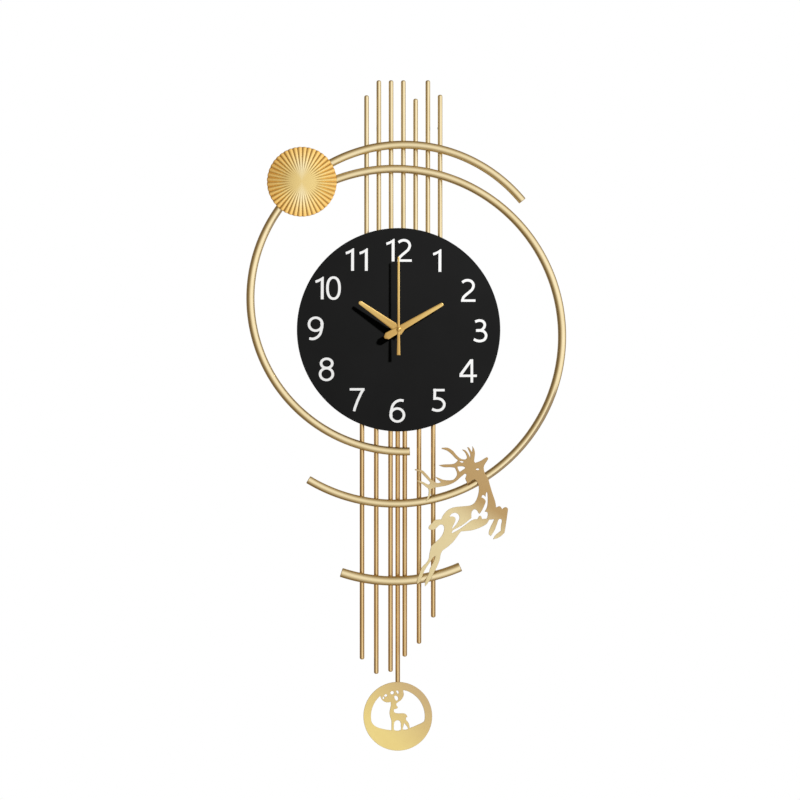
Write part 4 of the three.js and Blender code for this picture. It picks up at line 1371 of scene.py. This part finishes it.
def back_case():
    node = "movement_back_case"
    front, back = case_planes(node)
    low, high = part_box(node)
    body = plate("case_body", [case_outline(node)], front, back, 1.1 * MM, 4)
    tools = [plate("hollow", [case_outline(node, CASE_WALL)], front - MM, back - CASE_WALL)]
    outlines = sorted(face_loops(node, back), key=width_of, reverse=True)
    window = rounded(without_straight_points(outlines[1]), 1.6 * MM, 5, ring=True)
    knob_hole = without_straight_points(outlines[2])
    for opening in (window, flowing(knob_hole, 3, True)):
        tools.append(plate("opening", [opening], back - 3 * MM, back + 2 * MM))
    slot = min(face_loops(node, low.z, axis=2), key=width_of)
    slot_low = [min(values) for values in zip(*slot)]
    slot_high = [max(values) for values in zip(*slot)]
    tools.append(block("slot", (*slot_low, low.z - MM), (*slot_high, low.z + 3 * MM), 0.5 * MM))
    shell = cut_by(body, tools)

    parts = [shell]
    (x0, z0), (x1, z1) = ([f(values) for values in zip(*window)] for f in (min, max))
    lip = [oblong((x0 - g, z0 - g), (x1 + g, z1 + g), 1.6 * MM + g) for g in (1.4 * MM, 0.2 * MM)]
    parts.append(plate("lip", lip, back - 0.3 * MM, back + 0.5 * MM, 0.2 * MM))
    knob_x, knob_z = centre_of(knob_hole)
    collar = [circle(knob_x, knob_z, r * MM) for r in (5.4, 4.4)]
    parts.append(plate("collar", collar, back - 0.3 * MM, back + 0.6 * MM, 0.2 * MM))
    for side in (-1, 1):
        edge_x = high.x if side > 0 else low.x
        for z in (low.z + 16 * MM, low.z + 54 * MM, high.z - 14 * MM):
            corner = Vector((edge_x - 0.5 * MM, front - 3 * MM, z))
            parts.append(block("clip", corner, corner + Vector((MM, 8 * MM, 7 * MM)), 0.3 * MM))
        for z in (low.z + 5 * MM, high.z - 5 * MM):
            pin = [(0, back - MM), (1.7 * MM, back - MM), (1.7 * MM, back + 0.35 * MM), (0, back + 0.35 * MM)]
            centre = Vector((edge_x - side * 5 * MM, 0, z))
            parts.append(turned("pin", rounded(pin, 0.3 * MM), centre, sides=32))
    for k in range(9):
        x = (low.x + high.x) / 2 + (k - 4) * 4 * MM
        corner = (x - 0.5 * MM, back - 0.4 * MM, low.z + 12 * MM)
        parts.append(block("rib", corner, (x + 0.5 * MM, back + 0.4 * MM, low.z + 34 * MM), 0.25 * MM))
    mesh = joined("case_back_shell", parts)
    piece_of("case_back_shell", mesh, CASE_PLASTIC, "root", [node])


def setting_knob():
    node = "setting_knob"
    low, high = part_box(node)
    centre = (low + high) / 2
    reach = half_width_of(node)
    teeth = 28
    rim = []
    for k in range(4 * teeth):
        turn = 2 * math.pi * k / (4 * teeth)
        radius = reach - (0.28 * MM if k % 4 in (0, 1) else 0)
        rim.append((centre.x + radius * math.cos(turn), centre.z + radius * math.sin(turn)))
    hole = circle(centre.x, centre.z, 0.8 * MM, 24)
    wheel = plate("wheel", [rim, hole], low.y, high.y, 0.12 * MM)
    ridge = [circle(centre.x, centre.z, r * MM, 32) for r in (2.2, 1.6)]
    parts = [wheel, plate("ridge", ridge, high.y - 0.1 * MM, high.y + 0.3 * MM, 0.12 * MM)]
    piece_of("setting_knob_knurled", joined("knob", parts), CASE_PLASTIC, "setting", [node])


front_case()
back_case()
setting_knob()


# ---------------------------------------------------------------- battery and electrics

def turned_piece(name, node, profile, material, axis="Y", body="root", sides=BAR_SIDES):
    mesh = turned(name, profile, middle_of(node), axis, sides)
    return piece_of(name, mesh, material, body, [node])


def cell():
    low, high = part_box("battery")
    tube = (high.z - low.z) / 2
    nub = 2.7 * MM
    shoulder = high.x - 1.4 * MM
    profile = [
        (0, low.x + 0.2 * MM), (tube - 1.6 * MM, low.x + 0.2 * MM), (tube - 1.4 * MM, low.x),
        (tube, low.x), (tube, shoulder), (nub + 0.8 * MM, shoulder), (nub, shoulder + 0.2 * MM),
        (nub, high.x), (0, high.x),
    ]
    turned_piece("battery_cell", "battery", rounded(profile, 0.3 * MM), BATTERY_WRAP, "X", sides=56)


def leaf_contact():
    low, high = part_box("battery_contact_plus")
    centre = (low + high) / 2
    leaf = block("leaf", low, high, 0.15 * MM)
    dimple = [(0, low.x - 0.25 * MM), (1.2 * MM, low.x - 0.1 * MM), (2.2 * MM, low.x + 0.2 * MM), (0, low.x + 0.2 * MM)]
    parts = [leaf, turned("dimple", rounded(dimple, 0.2 * MM), centre, "X", 32)]
    mesh = joined("contact_leaf", parts)
    piece_of("contact_leaf", mesh, STEEL, "root", ["battery_contact_plus"])


def spring_contact():
    low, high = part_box("battery_contact_minus")
    centre = (low + high) / 2
    wire = 0.28 * MM
    turns = 3.5
    steps = 140
    stations = []
    for k in range(steps + 1):
        share = k / steps
        turn = 2 * math.pi * turns * share
        reach = (3.4 - 2.1 * share) * MM
        outward_way = Vector((0, math.cos(turn), math.sin(turn)))
        place = Vector((low.x + 0.6 * MM + (high.x - low.x - 0.9 * MM) * share, centre.y, centre.z))
        stations.append((place + outward_way * reach, outward_way, Vector((1, 0, 0)), wire, turn * reach))
    spring = swept("spring", stations, 12)
    back = block("leaf", low, (low.x + 0.4 * MM, high.y, high.z), 0.12 * MM)
    mesh = joined("contact_spring", [spring, back])
    piece_of("contact_spring", mesh, STEEL, "root", ["battery_contact_minus"])


def wound_profile(inner, outer, low, high, flange, wire=0.35 * MM):
    """A bobbin's section: flanges at both ends and ridges of wire between them."""
    profile = [(inner, low), (outer + flange, low), (outer + flange, low + 0.6 * MM), (outer, low + 0.6 * MM)]
    first = low + 0.6 * MM
    count = max(1, round((high - low - 1.2 * MM) / wire))
    pitch = (high - low - 1.2 * MM) / count
    for k in range(count):
        profile += [(outer, first + (k + 0.5) * pitch), (outer - pitch * 0.35, first + (k + 1) * pitch)]
    profile += [(outer + flange, high - 0.6 * MM), (outer + flange, high), (inner, high)]
    return profile


def coils():
    low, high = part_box("stepper_coil")
    outer = (high.z - low.z) / 2 - 0.3 * MM
    profile = wound_profile(0, outer, low.x, high.x, 0.3 * MM)
    turned_piece("stepper_winding", "stepper_coil", profile, COPPER, "X")
    low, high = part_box("drive_coil")
    outer = (high.x - low.x) / 2 - 0.3 * MM
    mesh = turned("drive_winding", wound_profile(2.5 * MM, outer, low.y, high.y, 0.3 * MM),
                  middle_of("drive_coil"), bored=True)
    piece_of("drive_winding", mesh, COPPER, "root", ["drive_coil"])


def circuit():
    low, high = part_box("circuit_board")
    board = block("board", low, high, 0.1 * MM)
    parts = [(board, CIRCUIT, "circuit_board_panel", ["circuit_board"], "circuit")]
    middle = (low + high) / 2
    chip = turned("chip", rounded([(0, low.y - 0.8 * MM), (2.4 * MM, low.y - 0.5 * MM), (2.8 * MM, low.y), (0, low.y)],
                                  0.4 * MM), middle, sides=32)
    parts.append((chip, RUBBER, "circuit_chip", [], "rubber"))
    can = turned("can", solid_profile(MM, middle.z + 7 * MM, middle.z + 13 * MM, 0.2 * MM),
                 Vector((middle.x, low.y - MM, 0)), "Z", 24)
    parts.append((can, STEEL, "circuit_crystal", [], "steel"))
    for mesh, material, name, nodes, slot in parts:
        piece_of(name, mesh, material, "root", nodes)


cell()
leaf_contact()
spring_contact()
coils()
circuit()
flat_piece("stator_plate", "stator", STEEL, "root", 0.15 * MM)


# ---------------------------------------------------------------- pendulum drive and gear train

def swing_arm():
    node = "swing_arm"
    low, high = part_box(node)
    strip_back = low.y + 1.4 * MM
    strip = plate("strip", smooth_loops(node, low.y, 4), low.y, strip_back, 0.2 * MM)
    peg = max(face_loops(node, high.y), key=width_of)
    x, z = centre_of(peg)
    profile = solid_profile(width_of(peg) / 2, strip_back - 0.5 * MM, high.y, 0.25 * MM)
    parts = [strip, turned("peg", profile, Vector((x, 0, z)), sides=32)]
    piece_of("swing_arm_strip", joined("arm", parts), STEEL, "pendulum", [node])


def hook():
    """A drilled tongue over a turned collar that takes the pendulum rod."""
    node = "pendulum_hook"
    low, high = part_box(node)
    depths = [v.co.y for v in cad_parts[node].data.vertices if v.co.z > high.z - 0.01 * MM]
    tongue = plate("tongue", smooth_loops(node, max(depths), 4), min(depths), max(depths), 0.2 * MM)
    radius = half_width_of(node)
    axis = Vector(((low.x + high.x) / 2, low.y + radius, 0))
    profile = [(0, low.z), (radius, low.z)]
    for k in range(3):
        place = low.z + (1.6 + k) * MM
        profile += [(radius, place), (radius - 0.3 * MM, place + 0.3 * MM), (radius, place + 0.6 * MM)]
    profile += [(radius, low.z + 7 * MM), (0, low.z + 7 * MM)]
    collar = turned("collar", rounded(profile, 0.4 * MM, 3), axis, "Z")
    piece_of("pendulum_hook_tongue", joined("hook", [tongue, collar]), BRASS, "pendulum", [node])


def plain_turned(name, node, material, body):
    low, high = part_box(node)
    profile = solid_profile(half_width_of(node), low.y, high.y)
    turned_piece(name, node, profile, material, body=body)


swing_arm()
hook()
plain_turned("drive_magnet_disc", "drive_magnet", STEEL, "pendulum")
plain_turned("pivot_pin_turned", "pivot_pin", STEEL, "root")

WHEEL_FINISHES = {
    "rotor": STEEL, "fifth_wheel": GEAR_PLASTIC, "seconds_wheel": GEAR_PLASTIC, "third_wheel": GEAR_PLASTIC,
    "centre_wheel": BRASS, "minute_wheel": GEAR_PLASTIC, "hour_wheel": BRASS,
}
for wheel, wheel_finish in WHEEL_FINISHES.items():
    wheel_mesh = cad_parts[wheel].data
    wheel_mesh.materials.clear()
    wheel_mesh.materials.append(wheel_finish)


# ---------------------------------------------------------------- studio

def studio():
    world = bpy.data.worlds.new("studio")
    bpy.context.scene.world = world
    world.use_nodes = True
    world.cycles.sampling_method = "NONE"
    tree = world.node_tree
    tree.nodes.clear()
    link = tree.links.new
    out = tree.nodes.new("ShaderNodeOutputWorld")
    seen = tree.nodes.new("ShaderNodeBackground")
    seen.inputs["Color"].default_value = (1, 1, 1, 1)
    lit = tree.nodes.new("ShaderNodeBackground")
    chooser = tree.nodes.new("ShaderNodeMixShader")
    path = tree.nodes.new("ShaderNodeLightPath")
    link(path.outputs["Is Camera Ray"], chooser.inputs[0])
    dimmed = tree.nodes.new("ShaderNodeMath")
    dimmed.operation = "MULTIPLY_ADD"
    dimmed.inputs[1].default_value = SOFT_FILL - STUDIO_STRENGTH
    dimmed.inputs[2].default_value = STUDIO_STRENGTH
    link(path.outputs["Is Diffuse Ray"], dimmed.inputs[0])
    link(dimmed.outputs[0], lit.inputs["Strength"])
    link(lit.outputs[0], chooser.inputs[1])
    link(seen.outputs[0], chooser.inputs[2])
    link(chooser.outputs[0], out.inputs["Surface"])

    place = tree.nodes.new("ShaderNodeTexCoord")
    facing = tree.nodes.new("ShaderNodeVectorMath")
    facing.operation = "DOT_PRODUCT"
    facing.inputs[1].default_value = Vector((0.66, -0.72, -0.05)).normalized()
    link(place.outputs["Generated"], facing.inputs[0])
    share = tree.nodes.new("ShaderNodeMapRange")
    share.inputs["From Min"].default_value = -1
    share.inputs["From Max"].default_value = 1
    link(facing.outputs["Value"], share.inputs["Value"])
    ramp = tree.nodes.new("ShaderNodeValToRGB")
    stops = [
        (0.0, (0.18, 0.15, 0.12)), (0.3, (0.20, 0.15, 0.085)), (0.5, (0.27, 0.20, 0.11)),
        (0.61, (0.45, 0.38, 0.29)), (0.74, (0.54, 0.48, 0.38)), (0.86, (0.90, 0.88, 0.82)),
        (1.0, (1.08, 1.06, 1.04)),
    ]
    band = ramp.color_ramp
    while len(band.elements) < len(stops):
        band.elements.new(0.5)
    for element, (position, colour) in zip(band.elements, stops):
        element.position = position
        element.color = (*colour, 1)
    link(share.outputs["Result"], ramp.inputs["Fac"])
    rear = tree.nodes.new("ShaderNodeVectorMath")
    rear.operation = "DOT_PRODUCT"
    rear.inputs[1].default_value = (0, 1, 0)
    link(place.outputs["Generated"], rear.inputs[0])
    glow = tree.nodes.new("ShaderNodeMapRange")
    glow.inputs["From Min"].default_value = math.cos(REAR_GLOW_WIDE)
    glow.inputs["From Max"].default_value = math.cos(REAR_GLOW_CORE)
    link(rear.outputs["Value"], glow.inputs["Value"])
    both = tree.nodes.new("ShaderNodeMix")
    both.data_type = "RGBA"
    both.inputs[7].default_value = (*REAR_TONE, 1)
    link(glow.outputs["Result"], both.inputs[0])
    link(ramp.outputs["Color"], both.inputs[6])
    link(both.outputs[2], lit.inputs["Color"])


def area_light(name, place, target, size, power, mirrored=True, only=None):
    data = bpy.data.lights.new(name, "AREA")
    data.shape = "DISK"
    data.size = size
    data.energy = power
    lamp = bpy.data.objects.new(name, data)
    lamp.location = place
    lamp.visible_glossy = mirrored
    if only:
        lamp.visible_diffuse = False
        lamp.light_linking.receiver_collection = only
    lamp.rotation_euler = (Vector(target) - Vector(place)).to_track_quat("-Z", "Y").to_euler()
    bpy.context.scene.collection.objects.link(lamp)


def floor():
    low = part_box("wall_hanger")[0]
    z = low.z - FLOOR_BELOW_NAIL
    steps = 8
    span = [FLOOR_HALF * (2 * k / steps - 1) for k in range(steps + 1)]
    points = [(x, y, z) for y in span for x in span]
    row = steps + 1
    faces = [
        (j * row + i, j * row + i + 1, (j + 1) * row + i + 1, (j + 1) * row + i)
        for j in range(steps) for i in range(steps)
    ]
    finish = Finish("floor_pale", Specular_IOR_Level=0.2, Emission_Strength=0.5, Emission_Color=(1.0, 0.99, 0.97, 1.0))
    mottle = finish.noise(finish.place(), 3, 4)
    finish.colour(finish.ramp(mottle, [(0.3, (0.78, 0.77, 0.75)), (0.7, (0.82, 0.81, 0.79))]))
    finish.roughness(finish.between(mottle, 0.7, 0.8))
    mesh = mesh_of("floor", points, faces)
    mesh.materials.append(finish.material)
    ground = loose_piece("floor", mesh)
    ground.visible_glossy = False
    ground.visible_diffuse = False


def card():
    """A dim card beside the lower rods, seen only in their polish."""
    centre = middle_of("dial")
    mesh = mesh_of("card", [
        (centre.x + CARD_SIDE, centre.y - CARD_REACH, centre.z - CARD_TOP),
        (centre.x + CARD_SIDE, centre.y + CARD_REACH, centre.z - CARD_TOP),
        (centre.x + CARD_SIDE, centre.y + CARD_REACH, centre.z - CARD_FOOT),
        (centre.x + CARD_SIDE, centre.y - CARD_REACH, centre.z - CARD_FOOT),
    ], [(0, 1, 2, 3)])
    finish = Finish("card", Emission_Strength=1.0, Specular_IOR_Level=0.0)
    finish.shader.inputs["Base Color"].default_value = (0, 0, 0, 1)
    finish.shader.inputs["Emission Color"].default_value = (*CARD_TONE, 1)
    mesh.materials.append(finish.material)
    flag = loose_piece("card", mesh)
    flag.visible_camera = False
    flag.visible_diffuse = False
    flag.visible_shadow = False


def camera():
    dial_centre = middle_of("dial")
    data = bpy.data.cameras.new("camera")
    data.lens = CAMERA_LENS
    data.sensor_width = 36
    data.clip_end = 50
    shot = bpy.data.objects.new("camera", data)
    shot.location = (
        dial_centre.x + CAMERA_RIGHT_OF_DIAL,
        front_of("dial") - CAMERA_DISTANCE,
        dial_centre.z - CAMERA_BELOW_DIAL,
    )
    shot.rotation_euler = (math.radians(90), 0, 0)
    bpy.context.scene.collection.objects.link(shot)
    bpy.context.scene.camera = shot


studio()
dial_at = middle_of("dial")
key_place = dial_at + Vector((0.63, -0.6, 0.49)) * 2.5
area_light("key", key_place, dial_at, 0.22, 96, False)
area_light("glint", key_place, dial_at, 0.35, 40, only=HANDS)
area_light("behind", dial_at + Vector((-0.8, 2.2, 1.0)), dial_at, 1.6, 30, False)
floor()
card()
camera()
bpy.context.scene.view_settings.view_transform = "Standard"
